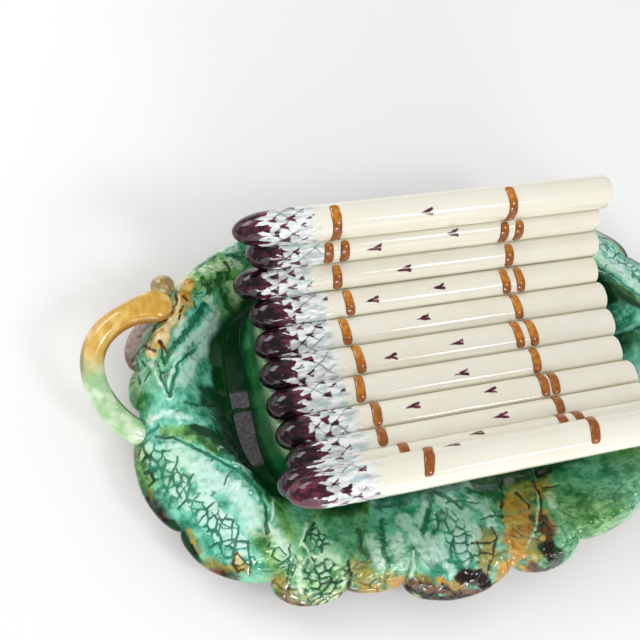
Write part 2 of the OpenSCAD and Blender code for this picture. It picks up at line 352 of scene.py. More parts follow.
def face_outwards():
    """Turn the faces of the active piece outwards, and leave edit mode."""
    bpy.ops.object.mode_set(mode="EDIT")
    bpy.ops.mesh.select_all(action="SELECT")
    bpy.ops.mesh.normals_make_consistent(inside=False)
    bpy.ops.object.mode_set(mode="OBJECT")


def finish_piece(piece, glaze, slot, *nodes):
    """Smooth faces, one material, a place under the root of the part, and the solids it dresses hidden."""
    fresh()
    piece.select_set(True)
    bpy.context.view_layer.objects.active = piece
    bpy.ops.object.shade_smooth()
    piece.data.materials.clear()
    piece.data.materials.append(glaze.material)
    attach(piece, "root")
    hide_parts(*nodes)
    return piece


print("solids to dress:", sum(name != "dish_floor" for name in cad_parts))

# %% [markdown]
# ## The cradle in numbers
# The spears lie side by side on a curve, like the staves of a barrel cut open. The numbers are
# those of the solids: the slope from each spear to the next one out gives its place. Spears are
# counted two ways: by number from 1 on the far side to 11, and by k from the middle, -5 to 5.

# %% The cradle in numbers
SPEAR_R, PITCH, CRADLE_HALF, CRADLE_Z, CRADLE_Y = 9.75, 17.64, 106.0, 50.0, 10.0
TIP_LEAD, NOSE, RIM_NOSE_SHARE, BUTT_ROUND = 8.0, 15.0, 1.35, 2.0
SQUARENESS, CORNER_SHARE = 0.45, 1.045
SLOPES = [0, 9, 24, 44, 66]
TIP_SHARES = [1, 0, 1, 0.15, 0.2, 0.25, 0.2, 0.05, -0.1, 1, 0.9]
BUTT_SHARES = [0, 0.3, 0.1, 0.4, 0.2, 0.3, 0.5, 0.2, 0.4, 0.1, 0.3]


def spear_centre(k):
    steps = np.radians(SLOPES[:abs(k)])
    return CRADLE_Y + np.sign(k) * PITCH * np.cos(steps).sum(), CRADLE_Z + PITCH * np.sin(steps).sum()


def joint_slopes(k):
    """Slope of the joint on the outer and on the inner side of spear k, counted from the middle."""
    return SLOPES[min(abs(k), 4)], (SLOPES[abs(k) - 1] if k else 0)


for k in range(6):
    print("centre of far spear", k, "at", [round(float(v), 1) for v in spear_centre(k)])

# %% [markdown]
# ## Spear glaze
# The real spears are cream earthenware under a clear glaze. The tips are sponged with manganese
# purple, almost black where it is thick, and a fine brush drew the edges of the scales in blue
# grey. The brushwork is painted on the vertices as distances in mm to the edge of each stroke,
# and the shader turns a distance into a crisp edge, which stays sharp between two vertices.

# %% Spear glaze
spear_glaze = Glaze("spear_glaze", roughness=0.12, coat=0.6, coat_roughness=0.02, specular=0.35)
g = spear_glaze
lengthwise = (0.4, 1, 1)
cream = g.mix(g.noise(22, 3), paint(235, 229, 209), paint(246, 243, 231))
# painted shade in the seams: the cream turns darker near each joint between two spears
cream = g.mix(g.step(g.attribute("valley"), 0.0, 1.0) * 0.55, cream, paint(186, 182, 148))
wash = g.mottle(2.6, 0.42, 0.66, paint(244, 247, 245), paint(178, 200, 204), stretch=(0.3, 1, 1))
mauve = g.step(g.noise(4, 3, stretch=lengthwise), 0.5, 0.68)
wash = g.mix(mauve * 0.55, wash, paint(164, 146, 164))
washed = g.ragged("wash", 4, 0.2, 0.8, much=0.8, detail=3, stretch=lengthwise)
body = g.mix(washed * 0.9, cream, wash)
line = g.step(g.attribute("line") * (0.4 + g.noise(3, 3) * 1.2), 0.4, 0.8)
body = g.mix(line * 0.65, body, paint(84, 104, 112))
flecks = g.noise(2.2, 5, stretch=lengthwise, roughness=0.65)
purple = g.mix(g.step(flecks, 0.4, 0.62), paint(44, 14, 26), paint(118, 46, 68))
black = g.mix(g.step(flecks, 0.47, 0.68), paint(12, 5, 10), paint(84, 28, 52))
purple = g.mix(g.ragged("thick", 4, 0.1, 0.9, much=0.5, detail=3), purple, black)
dusty = g.step(g.noise(1.8, 4, stretch=lengthwise), 0.64, 0.74)
purple = g.mix(dusty * 0.5, purple, paint(150, 128, 146))
brush = g.ragged("stroke", 1.5, -0.25, 0.4, much=2.1, stretch=(0.45, 1, 1))
g.colour(g.mix(brush, body, purple))
g.bump(g.noise(14, 3), 0.25, 0.25)
print("spear glaze nodes:", len(g.tree.nodes))

# %% [markdown]
# ## Brushwork on the spears
# Two sets of diagonal lines, wound round a tip, cross in a net of lozenges: the edges of the
# scales. A brush stroke shaped like an arrowhead sits on each crossing and points to the tip, and
# fewer and smaller ones do so farther down. Each stalk then has one or two marks of its own,
# placed one by one. Distances to the edge of a stroke are above 0 inside it.

# %% Brushwork on the spears
STALK_MARKS = {  # spear number: place along the cradle in mm and angle round the spear
    1: [(-6.2, -29)], 2: [(-34.4, -50), (12.7, -30)], 3: [(-16, -34)], 4: [(-37.4, -20), (3.9, -6)],
    5: [(-9.2, -1)], 6: [(-34.5, -15), (7, -3)], 7: [(4.9, -4)], 8: [(-29.6, 13), (17.4, 20)],
    9: [(16.1, 18)], 10: [(-5.6, 45)], 11: [(-26.5, 55)]}
MARK_LEN, MARK_SPREAD, MARK_LEAN = 8.8, 0.25, 0.08
SCALE_RUN, SCALE_TURN, SCALE_LEN, LINE_STEP = 10.5, 8.6, 6.2, 6.2
LAST_SCALE, SOLID_TIP, UNPAINTED = 45, 15.5, -9.0


def arrow(along, across, length, spread, notch_share=0.72):
    """Distance to the edge of an arrowhead that points to the tip, above 0 inside."""
    x = along + length / 2
    outer = spread * x - np.abs(across)
    notch = np.abs(across) - 0.9 * spread * (x - notch_share * length)
    return np.minimum(np.minimum(outer, notch), length - x)


def scale_strokes(u, v, seed):
    """Brushwork of a tip at u mm from its end and v mm round it: strokes, and lines of the net."""
    u = u + 1.6 * lumps(u, v, 9, seed)
    v = v + 1.1 * lumps(u, v, 7, seed + 1)
    a, b = u / SCALE_RUN + v / SCALE_TURN, u / SCALE_RUN - v / SCALE_TURN
    line = np.minimum(np.abs(a - np.rint(a)), np.abs(b - np.rint(b))) * LINE_STEP
    strokes = np.full(u.shape, UNPAINTED)
    for i, j in [(i, j) for i in (-1, 0, 1) for j in (-1, 0, 1)]:
        ca, cb = np.rint(a) + i, np.rint(b) + j
        cu, cv = (ca + cb) * SCALE_RUN / 2, (ca - cb) * SCALE_TURN / 2
        luck = dice(ca.astype(np.int64), cb.astype(np.int64), seed + 3)
        size = SCALE_LEN - 1.0 * ease(cu, 25, 50) + 2.2 * (luck - 0.5)
        kept = (luck < 0.95 - 0.7 * ease(cu, 24, 44)) & (cu < LAST_SCALE)
        mark = arrow(u - cu, v - cv + 0.5 * (luck - 0.5) * (u - cu), size,
                     0.3 + 0.16 * luck, 0.62 + 0.4 * luck)
        strokes = np.maximum(strokes, np.where(kept, mark, UNPAINTED))
    teeth = np.abs((v / SCALE_TURN * 2) % 1 - 0.5) * 2
    solid = SOLID_TIP + 5 * teeth + 6 * lumps(v, u * 0.15, 2.2, seed + 5) - u
    return np.maximum(strokes, solid), line


def stalk_strokes(number, x, v):
    """The marks of one stalk at x mm along the cradle and v mm round the spear."""
    marks = np.full(x.shape, UNPAINTED)
    for mark_x, mark_angle in STALK_MARKS[number]:
        across = v - np.radians(mark_angle) * SPEAR_R - MARK_LEAN * (x - mark_x)
        marks = np.maximum(marks, arrow(x - mark_x, across, MARK_LEN, MARK_SPREAD) + 0.1)
    return marks


print("marks on the stalks:", sum(len(marks) for marks in STALK_MARKS.values()))

# %% [markdown]
# ## Spears
# A spear is a rod with a bullet nose. It could be a bevelled cylinder, but its rings have to be
# close together where the brushwork is fine and far apart on the plain stalk. So a ball is laid
# on its side and each of its rings is moved to its own station along the spear. The section is
# a little squarer than a circle, which gives the shallow ribs and thin seams of the cradle. Where
# two spears meet, both are cut flat at the joint.

# %% Spears
SPEAR_SIDES = 112


def spear_stations(number, tip, butt):
    """Where the rings of a spear lie along it, and how wide each is, as a share."""
    nose = NOSE * (RIM_NOSE_SHARE if number in (1, 11) else 1.0)
    swing = np.linspace(0, np.pi / 2, 15)[1:]
    close = np.arange(tip + nose + 0.7, tip + 60, 0.72)
    far = np.arange(close[-1] + 1.5, butt - BUTT_ROUND - 0.5, 3.5)
    for x, _ in STALK_MARKS[number]:
        far = far[np.abs(far - x) > 5.5]
        far = np.concatenate([far, np.arange(x - 5, x + 5.01, 0.6)])
    far = np.sort(far[far > close[-1] + 0.5])
    turn = np.linspace(0, np.pi / 2, 5)
    x = np.concatenate([[tip], tip + nose * (1 - np.cos(swing)), close, far,
                        butt - BUTT_ROUND * (1 - np.sin(turn)), [butt]])
    width = np.concatenate([[0], np.sin(swing), np.ones(len(close) + len(far)),
                            1 - BUTT_ROUND / SPEAR_R * (1 - np.cos(turn)), [0]])
    return x, width


def cut_joints(k, y, z):
    """Cut the section of spear k flat at its joints. Also says how near a joint each point is, for the
    painted shade in the seams.
    """
    valley = np.zeros(len(y))
    outer, inner = joint_slopes(k)
    far_slope, near_slope = (outer, inner) if k >= 0 else (inner, outer)
    for way, slope, meets in ((1, far_slope, k < 5), (-1, near_slope, k > -5)):
        lean = np.radians(slope) * (np.sign(k) if k else way)
        towards = way * (y * np.cos(lean) + z * np.sin(lean))
        over = np.where(meets, np.maximum(towards - PITCH / 2 - 0.03, 0), 0)
        y = y - way * over * np.cos(lean)
        z = z - way * over * np.sin(lean)
        valley = np.maximum(valley, np.where(meets, ease(towards, PITCH / 2 - 1.6, PITCH / 2), 0))
    return y, z, valley


def make_spear(number):
    k = 6 - number
    tip = -CRADLE_HALF - TIP_LEAD * TIP_SHARES[number - 1]
    butt = CRADLE_HALF + TIP_LEAD * (1 - BUTT_SHARES[number - 1])
    x_of, width_of = spear_stations(number, tip, butt)
    piece, ring, side = spindle("glazed_spear_%02d" % number, len(x_of) - 1, SPEAR_SIDES)
    x, width, angle = x_of[ring], width_of[ring], np.radians(side)
    bulge = oval(1, 1, 2 + SQUARENESS * ease(x, tip + 8, tip + 45), angle)
    radius = SPEAR_R * width * np.minimum(bulge, CORNER_SHARE)
    u, v = x - tip, np.degrees(angle) / 180 * np.pi * SPEAR_R
    stroke, line = scale_strokes(u, v, 31 * number)
    stroke = np.maximum(np.where(u < 58, stroke, UNPAINTED), stalk_strokes(number, x, v))
    relief = 0.22 * ease(line, 0.9, 0.0) * ease(u, 3, 9) * ease(u, 60, 40)
    radius = radius - relief * (width > 0) + 0.12 * lumps(x, v, 16, number)
    radius = np.minimum(radius, SPEAR_R * width * CORNER_SHARE)
    y, z, valley = cut_joints(k, radius * np.sin(angle), radius * np.cos(angle))
    y0, z0 = spear_centre(k)
    place_points(piece, np.stack([x, y0 + y, z0 + z], 1) * MM)
    drawn = ease(line, 0.8, 0.15) * ease(u, 50, 36) * ease(lumps(u, v, 7, number + 9), -0.5, 0.3)
    thin = {1: 0.6, 11: 0.3}.get(number, 1.0)
    paint_on(piece, valley=valley, stroke=stroke, thick=ease(u, 22, 8) * thin, wash=ease(u, 54, 34),
             line=drawn)
    return finish_piece(piece, spear_glaze, "spear_glaze", "spear_%02d" % number)


spears = [make_spear(number) for number in range(1, 12)]
print("spears:", len(spears), "faces each:", len(spears[0].data.polygons))

# %% [markdown]
# ## Tie glaze
# The ties are clay bands under an ochre glaze. It runs off the edges of a band, where brown
# shows. Painted shade darkens each band on the side that faces the near rim, and the bands of the near rows
# as well.

# %% Tie glaze
tie_glaze = Glaze("tie_glaze", roughness=0.14, coat=0.6, coat_roughness=0.02)
g = tie_glaze
ochre = g.mottle(2.6, 0.35, 0.68, paint(182, 100, 18), paint(214, 146, 44), detail=3)
# painted shade: darker brown on the near side of each band and on the bands of the near rows
shaded = g.ragged("low", 3, 0.3, 1.0, much=0.4, detail=2)
ochre = g.mix(shaded * 0.8, ochre, paint(130, 62, 18))
run_off = g.ragged("edge", 1.4, 0.82, 1.0, much=0.15, detail=2)
g.colour(g.mix(run_off, ochre, paint(96, 44, 12)))
g.bump(g.noise(2.2, 3), 0.2, 0.3)
print("tie glaze nodes:", len(g.tree.nodes))

# %% [markdown]
# ## Ties
# Each spear carries one or two raised bands, like rushes round a bundle. A band could be a strip
# with bevelled edges. Here it is a ball drawn out to a lozenge, flattened, and wrapped round its
# spear, because that gives the soft ends of pressed clay without a seam.

# %% Ties
# for each spear, far side first: place along the cradle and how far the far end leans, in mm
TIP_TIES = [[(-57.8, 0)], [(-60.8, 0), (-51.4, 0)], [(-56, 0)], [(-50.8, 1)], [(-56, 1)], [(-52, 1)],
            [(-55.6, 1.5)], [(-50.6, 1.5)], [(-52.7, 2)], [(-46.3, 2)], [(-40, 7)]]
BUTT_TIES = [[(48, 1)], [(47, 0), (56.6, 0)], [(51.5, 0)], [(47.4, 1), (56.8, 1)], [(51.3, 1)],
             [(46.5, 1), (55.8, 1)], [(52.5, 1.5)], [(51.3, 1.5), (58, 1.5)], [(53, 2)],
             [(46, 2), (56, 2)], [(53, 6)]]
TIE_W, TIE_T, TIE_GAP, RIM_TIE_ANGLE = 5.6, 0.75, 2.0, 150.0
TIE_RINGS, TIE_SIDES, TIE_END_SHARE, TIE_SUNK, TIE_SWELL = 40, 20, 0.2, 0.5, 0.25


def make_tie(k, place, slant):
    """One band, as the vertices of a ball drawn round spear k."""
    outer, inner = joint_slopes(k)
    margin = np.degrees(np.arccos(PITCH / 2 / SPEAR_R)) + np.degrees(np.arctan(TIE_GAP / SPEAR_R))
    first = margin - 90 - inner
    last = first + RIM_TIE_ANGLE if abs(k) == 5 else 90 - outer - margin
    if k < 0:
        first, last = -last, -first
    piece, ring, side = spindle("band", TIE_RINGS, TIE_SIDES)
    swing, share, ends = np.radians(side), ring / TIE_RINGS, TIE_END_SHARE
    cap, length = TIE_W / 2 / SPEAR_R, np.radians(last - first)
    straight = cap + (length - 2 * cap) * (share - ends) / (1 - 2 * ends)
    far_cap = length - cap * (1 - np.cos((1 - share) / ends * np.pi / 2))
    along = np.where(share < ends, cap * (1 - np.cos(share / ends * np.pi / 2)),
                     np.where(share > 1 - ends, far_cap, straight))
    half = np.sin(np.clip(np.minimum(share, 1 - share) / ends, 0, 1) * np.pi / 2) ** 0.55
    wobble = 1 + 0.08 * lumps(np.degrees(along), along * 0 + place, 18, 5)
    across = TIE_W / 2 * half * np.cos(swing) * wobble
    above = np.sin(swing) > 0
    rise = np.where(above, (TIE_T + TIE_SWELL) * np.sin(swing) * half, TIE_SUNK * np.sin(swing))
    angle = np.radians(first) + along
    radius = SPEAR_R * np.minimum(oval(1, 1, 2 + SQUARENESS, angle), CORNER_SHARE) + rise
    x = place + across + slant * (0.5 - along / length) * (-1 if k < 0 else 1)
    y0, z0 = spear_centre(k)
    place_points(piece, np.stack([x, y0 + radius * np.sin(angle), z0 + radius * np.cos(angle)], 1) * MM)
    # low carries the painted shade of a band: its near side and the near rows
    paint_on(piece, edge=np.where(above, np.hypot(np.cos(swing) * half, 1 - half), 1),
             low=np.maximum(ease(np.degrees(angle) * -1, -30, 60), 0.85 * ease(-k, -2.5, 3.5)))
    return piece


def make_tie_row(name, row, node):
    bands = [make_tie(5 - place, x, slant) for place, ties in enumerate(row) for x, slant in ties]
    piece = join_pieces(bands, name)
    face_outwards()
    return finish_piece(piece, tie_glaze, "tie_glaze", node)


tie_rows = [make_tie_row("glazed_tip_ties", TIP_TIES, "tip_ties"),
            make_tie_row("glazed_butt_ties", BUTT_TIES, "butt_ties")]
print("ties:", sum(len(ties) for ties in TIP_TIES), "and", sum(len(ties) for ties in BUTT_TIES))

# %% [markdown]
# ## The dish in numbers
# The leaves follow one formula, the same as in the solids: a leaf climbs from the edge of the
# well to a curled ridge and falls a little to its rim, and lobes push the rim out. Written on
# whole arrays, it places any point of any leaf from how far along the leaf and how far across
# it lies.

# %% The dish in numbers
WELL_LEN, WELL_WID, DISH_LEN, DISH_WID, WELL_POWER, DISH_POWER = 120.0, 69.04, 176.0, 114.04, 3.5, 2.6
FOOT_H, FLOOR_Z, LEAF_T = 4.0, 10.0, 5.5
RIDGE_RISE, EDGE_DROP, LOBE_OUT, LOBE_DROOP, LEAF_LAP, LUMP_RISE = 32.0, 14.0, 12.0, 3.0, 2.5, 1.4
# start and end angle, then at the start, middle and end where the ridge lies, then at the start
# and end how high it is and how far the rim drops, as shares, and the lobes: from, to, how far out
HALF_RING = [
    (153, 180, (0.75, 0.66, 0.60), (1.1, 1.0), (1.2, 1.0),
     ((0, 0.22, 0.6), (0.22, 0.62, 0.75), (0.62, 0.9, 0.4))),
    (180, 219, (0.60, 0.21, 0.62), (1.0, 0.78), (1.0, 0.7), ((0, 0.53, 0.6), (0.53, 1, 0.6))),
    (219, 234, (0.62, 0.66, 0.72), (0.78, 0.62), (0.7, 0.4), ((0, 1, 1),)),
    (234, 279, (0.72, 0.78, 0.78), (0.62, 0.62), (0.4, 0.36), ((0, 0.3, 0.3), (0.3, 1, 1.2))),
    (279, 333, (0.78, 0.86, 0.75), (0.62, 1.1), (0.36, 1.2),
     ((0, 0.38, 1), (0.38, 0.72, 0.35), (0.72, 1, 0.1)))]
LEAF_NODES = [
    "left_end_leaf", "near_left_corner_leaf", "near_left_small_leaf", "near_side_leaf",
    "near_right_long_leaf", "right_end_leaf", "far_right_corner_leaf", "far_right_small_leaf",
    "far_side_leaf", "far_left_long_leaf"]


def leaf_columns(index, t):
    """What the cross section of a leaf needs at each share t along it."""
    start, end, ridge, rises, drops, lobes = HALF_RING[index % 5]
    angle = np.radians(start + (end - start) * t + 180 * (index // 5))
    t = np.clip(t, 0, 1)
    reach = np.zeros_like(t)
    for low, high, share in lobes:
        inside = np.clip((t - low) / (high - low), 0, 1)
        reach = np.maximum(reach, share * np.sqrt(np.abs(np.sin(np.pi * inside))))
    way = np.stack([np.cos(angle), np.sin(angle)], -1)
    inner = way * oval(WELL_LEN, WELL_WID, WELL_POWER, angle)[..., None] + (0, CRADLE_Y)
    rim = way * (oval(DISH_LEN, DISH_WID, DISH_POWER, angle) + reach * LOBE_OUT)[..., None]
    full = np.hypot(*(rim - inner).T).T
    width = full - LEAF_T / 2
    share = ridge[0] * (1 - t) * (1 - 2 * t) + ridge[1] * 4 * t * (1 - t) - ridge[2] * t * (1 - 2 * t)
    return {"inner": inner, "out": (rim - inner) / full[..., None], "width": width,
            "ridge": width * share, "angle": angle,
            "rise": RIDGE_RISE * (rises[0] + (rises[1] - rises[0]) * t) + LEAF_LAP * t ** 6,
            "drop": EDGE_DROP * (drops[0] + (drops[1] - drops[0]) * t) + LOBE_DROOP * reach}


def leaf_section(column, s):
    """Reach and height of the upper face at s: 0 at the well, 1 on the ridge, 2 at the edge."""
    climb, fall = np.clip(s, 0, 1), np.clip(s - 1, 0, 1)
    reach = column["ridge"] * climb + (column["width"] - column["ridge"]) * fall
    up = (1 - np.cos(np.pi * climb)) / 2
    down = 1 - np.cos(np.pi / 2 * fall)
    height = FLOOR_Z + column["rise"] * up - column["drop"] * down
    slant = np.radians(s)
    waves = np.sin(15 * column["angle"] + 100 * slant) * np.sin(25 * column["angle"] - 140 * slant)
    return reach, height + LUMP_RISE * up * waves


def on_leaf(index, t, s):
    """Points in mm on the upper face of a leaf."""
    column = leaf_columns(index, t)
    reach, height = leaf_section(column, s)
    return np.column_stack([column["inner"] + column["out"] * reach[:, None], height])


middle = leaf_columns(0, np.array([0.5]))
print("end leaf, mm from the well to its rim:", round(float(middle["width"][0] + LEAF_T / 2), 1))

# %% [markdown]
# ## Leaf glaze
# The leaves were dipped in coloured lead glazes that ran together in the kiln: turquoise, leaf
# green and amber, thin and pale on the high places, dark where they gathered in grooves and
# hollows. Where the leaves go down to the stand and under their rolled rims, painted shade makes
# that dark deeper, and the pale along the ribs is partly painted highlight. The back of the dish
# is mottled brown. So the shader mixes a few glazes by masks that are painted with the relief,
# and adds the fine mottling of its own.

# %% Leaf glaze
leaf_glaze = Glaze("leaf_glaze", roughness=0.1, coat=0.8, coat_roughness=0.02, specular=0.3)
g = leaf_glaze
greenness = g.attribute("green").clamp()
warmth = g.attribute("warm").clamp()
streaks = g.noise(4, 4)
patchy = g.step(g.noise(9, 4) + streaks * 0.5, 0.5, 0.95)
turquoise = g.mix(patchy, paint(34, 144, 108), paint(134, 220, 192))
green = g.mix(patchy, paint(28, 110, 42), paint(132, 190, 112))
leaf = g.mix(greenness, turquoise, green)
deep = g.mix(greenness, paint(4, 94, 66), paint(8, 76, 26))
leaf = g.mix(g.ragged("deep", 2.6, 0.2, 1.0, 1.7) * 0.85, leaf, deep)
veining = g.step(g.noise(1.9, 4, stretch=(1, 0.6, 1)), 0.54, 0.68)
leaf = g.mix(veining * 0.45, leaf, deep)
olive = g.mix(g.step(streaks, 0.35, 0.65), paint(126, 112, 26), paint(180, 170, 80))
leaf = g.mix(g.ragged("olive", 4, 0.15, 1.25, 1.5), leaf, olive)
amber = g.mottle(6, 0.3, 0.7, paint(184, 108, 14), paint(228, 178, 68))
leaf = g.mix(g.ragged("warm", 4, 0.15, 1.3, 1.6), leaf, amber)
pale = g.mix(greenness, paint(210, 247, 234), paint(204, 234, 186))
pale = g.mix(warmth, pale, paint(238, 222, 170))
# pale: thin glaze on domes and in the nets, and along the ribs, where it is partly painted highlight
leaf = g.mix(g.ragged("pale", 3.2, 0.1, 1.3, 1.7), leaf, pale)
bare = g.mottle(3, 0.3, 0.7, paint(112, 90, 80), paint(168, 146, 128))
leaf = g.mix(g.ragged("bare", 5), leaf, bare)
umber = g.mottle(5, 0.38, 0.62, paint(28, 20, 8), paint(112, 64, 14))
leaf = g.mix(g.ragged("umber", 4, 0.2, 1.0, 1.0), leaf, umber)
cool = g.mix(greenness, g.mottle(10, 0.4, 0.62, paint(8, 100, 74), paint(40, 148, 116), detail=3),
             g.mottle(10, 0.4, 0.65, paint(2, 38, 12), paint(14, 82, 30), detail=3))
brownish = g.step(g.attribute("warm") + g.attribute("olive"), 0.3, 0.7)
groove = g.mix(brownish, cool, paint(66, 40, 12))
leaf = g.mix(g.ragged("groove", 2.2, 0.3, 0.8) * 0.9, leaf, groove)
# dark glaze gathered in hollows, deepened by painted shade where the leaves go down to the stand and under
# their rims
pooled = g.mix(g.noise(8, 3), paint(2, 40, 18), paint(10, 74, 34))
pooled = g.mix(g.ragged("umber", 5), pooled, paint(26, 12, 5))
leaf = g.mix(g.ragged("pool", 7, 0.15, 0.9, 0.5), leaf, pooled)
back = g.mottle(5, 0.35, 0.65, paint(96, 78, 70), paint(150, 130, 114))
g.colour(g.mix(g.attribute("under").clamp(), leaf, back))
g.bump(g.noise(7, 3), 0.3, 0.2)
print("leaf glaze nodes:", len(g.tree.nodes))

# %% [markdown]
# ## Brushwork on the end leaf
# No two stretches of the rim are painted alike, so the strokes that matter are drawn one by one, as
# they lie in the picture: each has its kind, its half width and its points, all in pixels. The
# end leaf has two channels that meet in a point with pale ribs beside them, their pale partly
# painted highlight, dashes along its margin, and a band of amber with brown cracks behind the handle.

# %% Brushwork on the end leaf
def count_strokes(*regions):
    return sum(len(rows) for region in regions for rows in region.values())


END_LEAF_VEINS = {
    "groove": [(2.2, (170, 396), (173, 386), (175, 377), (178, 366)),
               (1.6, (178, 366), (181, 361), (188, 355), (196, 350)),
               (1.6, (169, 393), (164, 381), (160, 368), (156, 361)), (2.6, (162, 377), (164, 373))],
    "rib": [(1.8, (167, 388), (171, 376), (175, 364), (180, 357)),
            (1.5, (166, 393), (160, 381), (155, 370)), (1.6, (167, 398), (171, 400), (174, 397)),
            (4.0, (176, 356), (184, 347), (194, 336), (203, 325), (210, 315))],
    "deep": [(3.5, (166, 362), (170, 350), (178, 341), (190, 327), (199, 314), (205, 304)),
             (2.0, (187, 402), (198, 405))],
    "pale": [(7.0, (182, 380), (192, 362), (205, 347), (216, 328)),
             (6.0, (196, 338), (208, 326), (216, 316))]}
END_LEAF_MARGIN = {
    "groove": [(1.0, (132, 366), (139, 364)), (1.0, (130, 373), (136, 371)),
               (1.0, (128, 380), (134, 378)), (0.9, (130, 386), (134, 383)),
               (1.0, (137, 358), (138, 370), (139, 384)), (1.2, (144, 381), (151, 373)),
               (1.3, (139, 351), (144, 347), (149, 348), (155, 351)), (1.4, (143, 362), (146, 366)),
               (1.5, (160, 347), (162, 358), (166, 365))],
    "rib": [(3.0, (150, 352), (155, 358), (152, 366))],
    "green": [(9.0, (131, 366), (133, 385), (140, 402))]}
AMBER_BAND = {
    "groove": [(1.3, (195, 296), (202, 292)), (1.3, (194, 302), (197, 308))],
    "rib": [(1.2, (180, 293), (180, 303), (176, 313), (168, 323), (158, 332))],
    "pale": [(5.0, (163, 338), (168, 328), (176, 318)), (3.0, (184, 318), (181, 326), (176, 336)),
             (3.5, (176, 286), (184, 276), (192, 272))],
    "warm": [(9.0, (152, 350), (160, 340), (167, 327), (176, 315), (182, 300), (186, 286)),
             (3.0, (190, 306), (194, 304))],
    "olive": [(1.1, (181, 289), (182, 294)), (1.1, (186, 285), (187, 291)),
              (8.0, (162, 286), (160, 292))],
    "umber": [(1.2, (184, 295), (186, 300)), (1.3, (180, 312), (183, 306)),
              (1.2, (179, 319), (181, 315)), (2.0, (160, 343), (166, 352)),
              (1.6, (176, 291), (177, 301), (173, 311), (165, 320), (154, 327)),
              (1.8, (154, 328), (149, 339), (144, 346), (137, 354), (131, 362)),
              (2.4, (165, 284), (168, 287))],
    "bare": [(8.5, (144, 322), (136, 334), (130, 346), (127, 360))]}
print("strokes on the end leaf:", count_strokes(END_LEAF_VEINS, END_LEAF_MARGIN, AMBER_BAND))

# %% [markdown]
# ## Brushwork on the corner leaf
# The corner leaf is one broad pale pad. A groove runs along its upper edge beside the dark trough
# by the stand, a net of fine veins crosses the pad, and brown glaze has gathered along its outer
# rim. Its dark strokes down by the stand and along the rim are partly painted shade, and the pale
# of the rib along its ridge is partly painted highlight.

# %% Brushwork on the corner leaf
CORNER_LEAF = {
    "groove": [(1.9, (156, 437), (174, 438), (186, 444), (198, 450), (214, 458), (233, 468), (248, 478),
                (260, 490), (265, 505), (266, 518)), (2.8, (266, 518), (267, 532)),
               (1.2, (178, 456), (174, 466), (169, 479), (165, 491)),
               (1.1, (194, 474), (190, 481), (189, 490), (188, 499)),
               (1.3, (188, 499), (181, 505), (176, 509)),
               (1.2, (188, 499), (196, 501), (202, 502), (204, 510)),
               (1.3, (193, 502), (192, 512), (192, 519)),
               (1.2, (187, 523), (196, 526), (200, 521), (207, 511)),
               (1.3, (233, 521), (231, 530), (231, 539)),
               (1.5, (209, 549), (215, 544), (231, 539), (239, 542), (248, 543)),
               (1.3, (219, 545), (222, 556), (225, 558), (232, 558)),
               (1.7, (236, 543), (233, 553), (233, 564), (237, 572), (243, 569)),
               (1.3, (248, 543), (249, 556), (250, 566), (249, 575)),
               (1.1, (212, 513), (217, 521), (214, 531), (217, 537)), (1.2, (206, 532), (213, 530)),
               (1.0, (217, 520), (224, 518), (233, 521)), (1.0, (217, 524), (224, 528), (231, 529)),
               (1.3, (163, 450), (162, 457), (157, 462), (160, 472), (161, 477), (154, 480),
                (149, 486)), (1.1, (161, 477), (169, 476)), (1.5, (144, 458), (150, 457), (157, 462)),
               (1.6, (147, 470), (153, 479)), (1.5, (144, 474), (149, 468), (156, 470)),
               (1.0, (163, 460), (172, 462)), (1.0, (163, 451), (171, 449)),
               (1.1, (174, 467), (179, 474), (187, 477), (191, 480)),
               (1.0, (180, 476), (181, 482), (188, 485)), (1.0, (179, 483), (176, 491), (183, 497)),
               (1.0, (233, 471), (228, 475), (225, 485)), (1.0, (211, 462), (215, 459), (224, 463)),
               (1.5, (141, 446), (145, 438), (151, 431), (158, 427))],
    "rib": [(1.6, (233, 462), (238, 465), (255, 477), (266, 489), (272, 500), (273, 520))],
    "deep": [(5.0, (188, 430), (204, 436)), (7.0, (146, 462), (149, 474)),
             (1.5, (204, 493), (207, 484), (214, 481)), (1.5, (209, 498), (214, 492), (223, 489)),
             (9.0, (213, 395), (220, 415), (222, 435)), (5.0, (200, 440), (222, 452), (244, 466))],
    "pale": [(4.0, (150, 420), (162, 414), (178, 414), (190, 418)),
             (13.0, (175, 452), (200, 468), (225, 485), (248, 505), (252, 525)),
             (9.0, (205, 475), (205, 500), (225, 520), (240, 550)),
             (6.0, (165, 458), (182, 480), (190, 508)), (7.0, (268, 528), (280, 540), (288, 552))],
    "green": [(6.0, (165, 432), (182, 431), (196, 438), (216, 449)),
              (8.0, (141, 452), (141, 470), (147, 484)), (12.0, (262, 540), (272, 560), (284, 580)),
              (9.0, (278, 498), (284, 520), (290, 535))],
    "warm": [(2.5, (150, 491), (152, 499)), (4.0, (237, 556), (238, 562))],
    "olive": [(4.5, (189, 532), (193, 541), (200, 552)), (6.0, (208, 564), (216, 564), (226, 570)),
              (6.0, (232, 568), (246, 568))],
    "umber": [(3.5, (147, 500), (155, 512), (165, 519)), (1.8, (192, 545), (197, 553))],
    "bare": [(5.0, (212, 573), (222, 576), (230, 580))],
    "pool": [(5.0, (196, 428), (212, 436), (226, 446)),
             (9.0, (222, 440), (240, 452), (256, 468), (272, 492)),
             (7.0, (226, 340), (230, 370), (228, 405), (232, 430)),
             (4.0, (140, 494), (147, 511), (160, 520), (172, 524), (186, 541), (200, 560), (212, 576),
               (240, 587))],
    "net": [(15.0, (150, 455), (162, 468), (180, 488)), (15.0, (200, 508), (225, 530), (242, 556))]}
print("strokes on the corner leaf:", count_strokes(CORNER_LEAF))
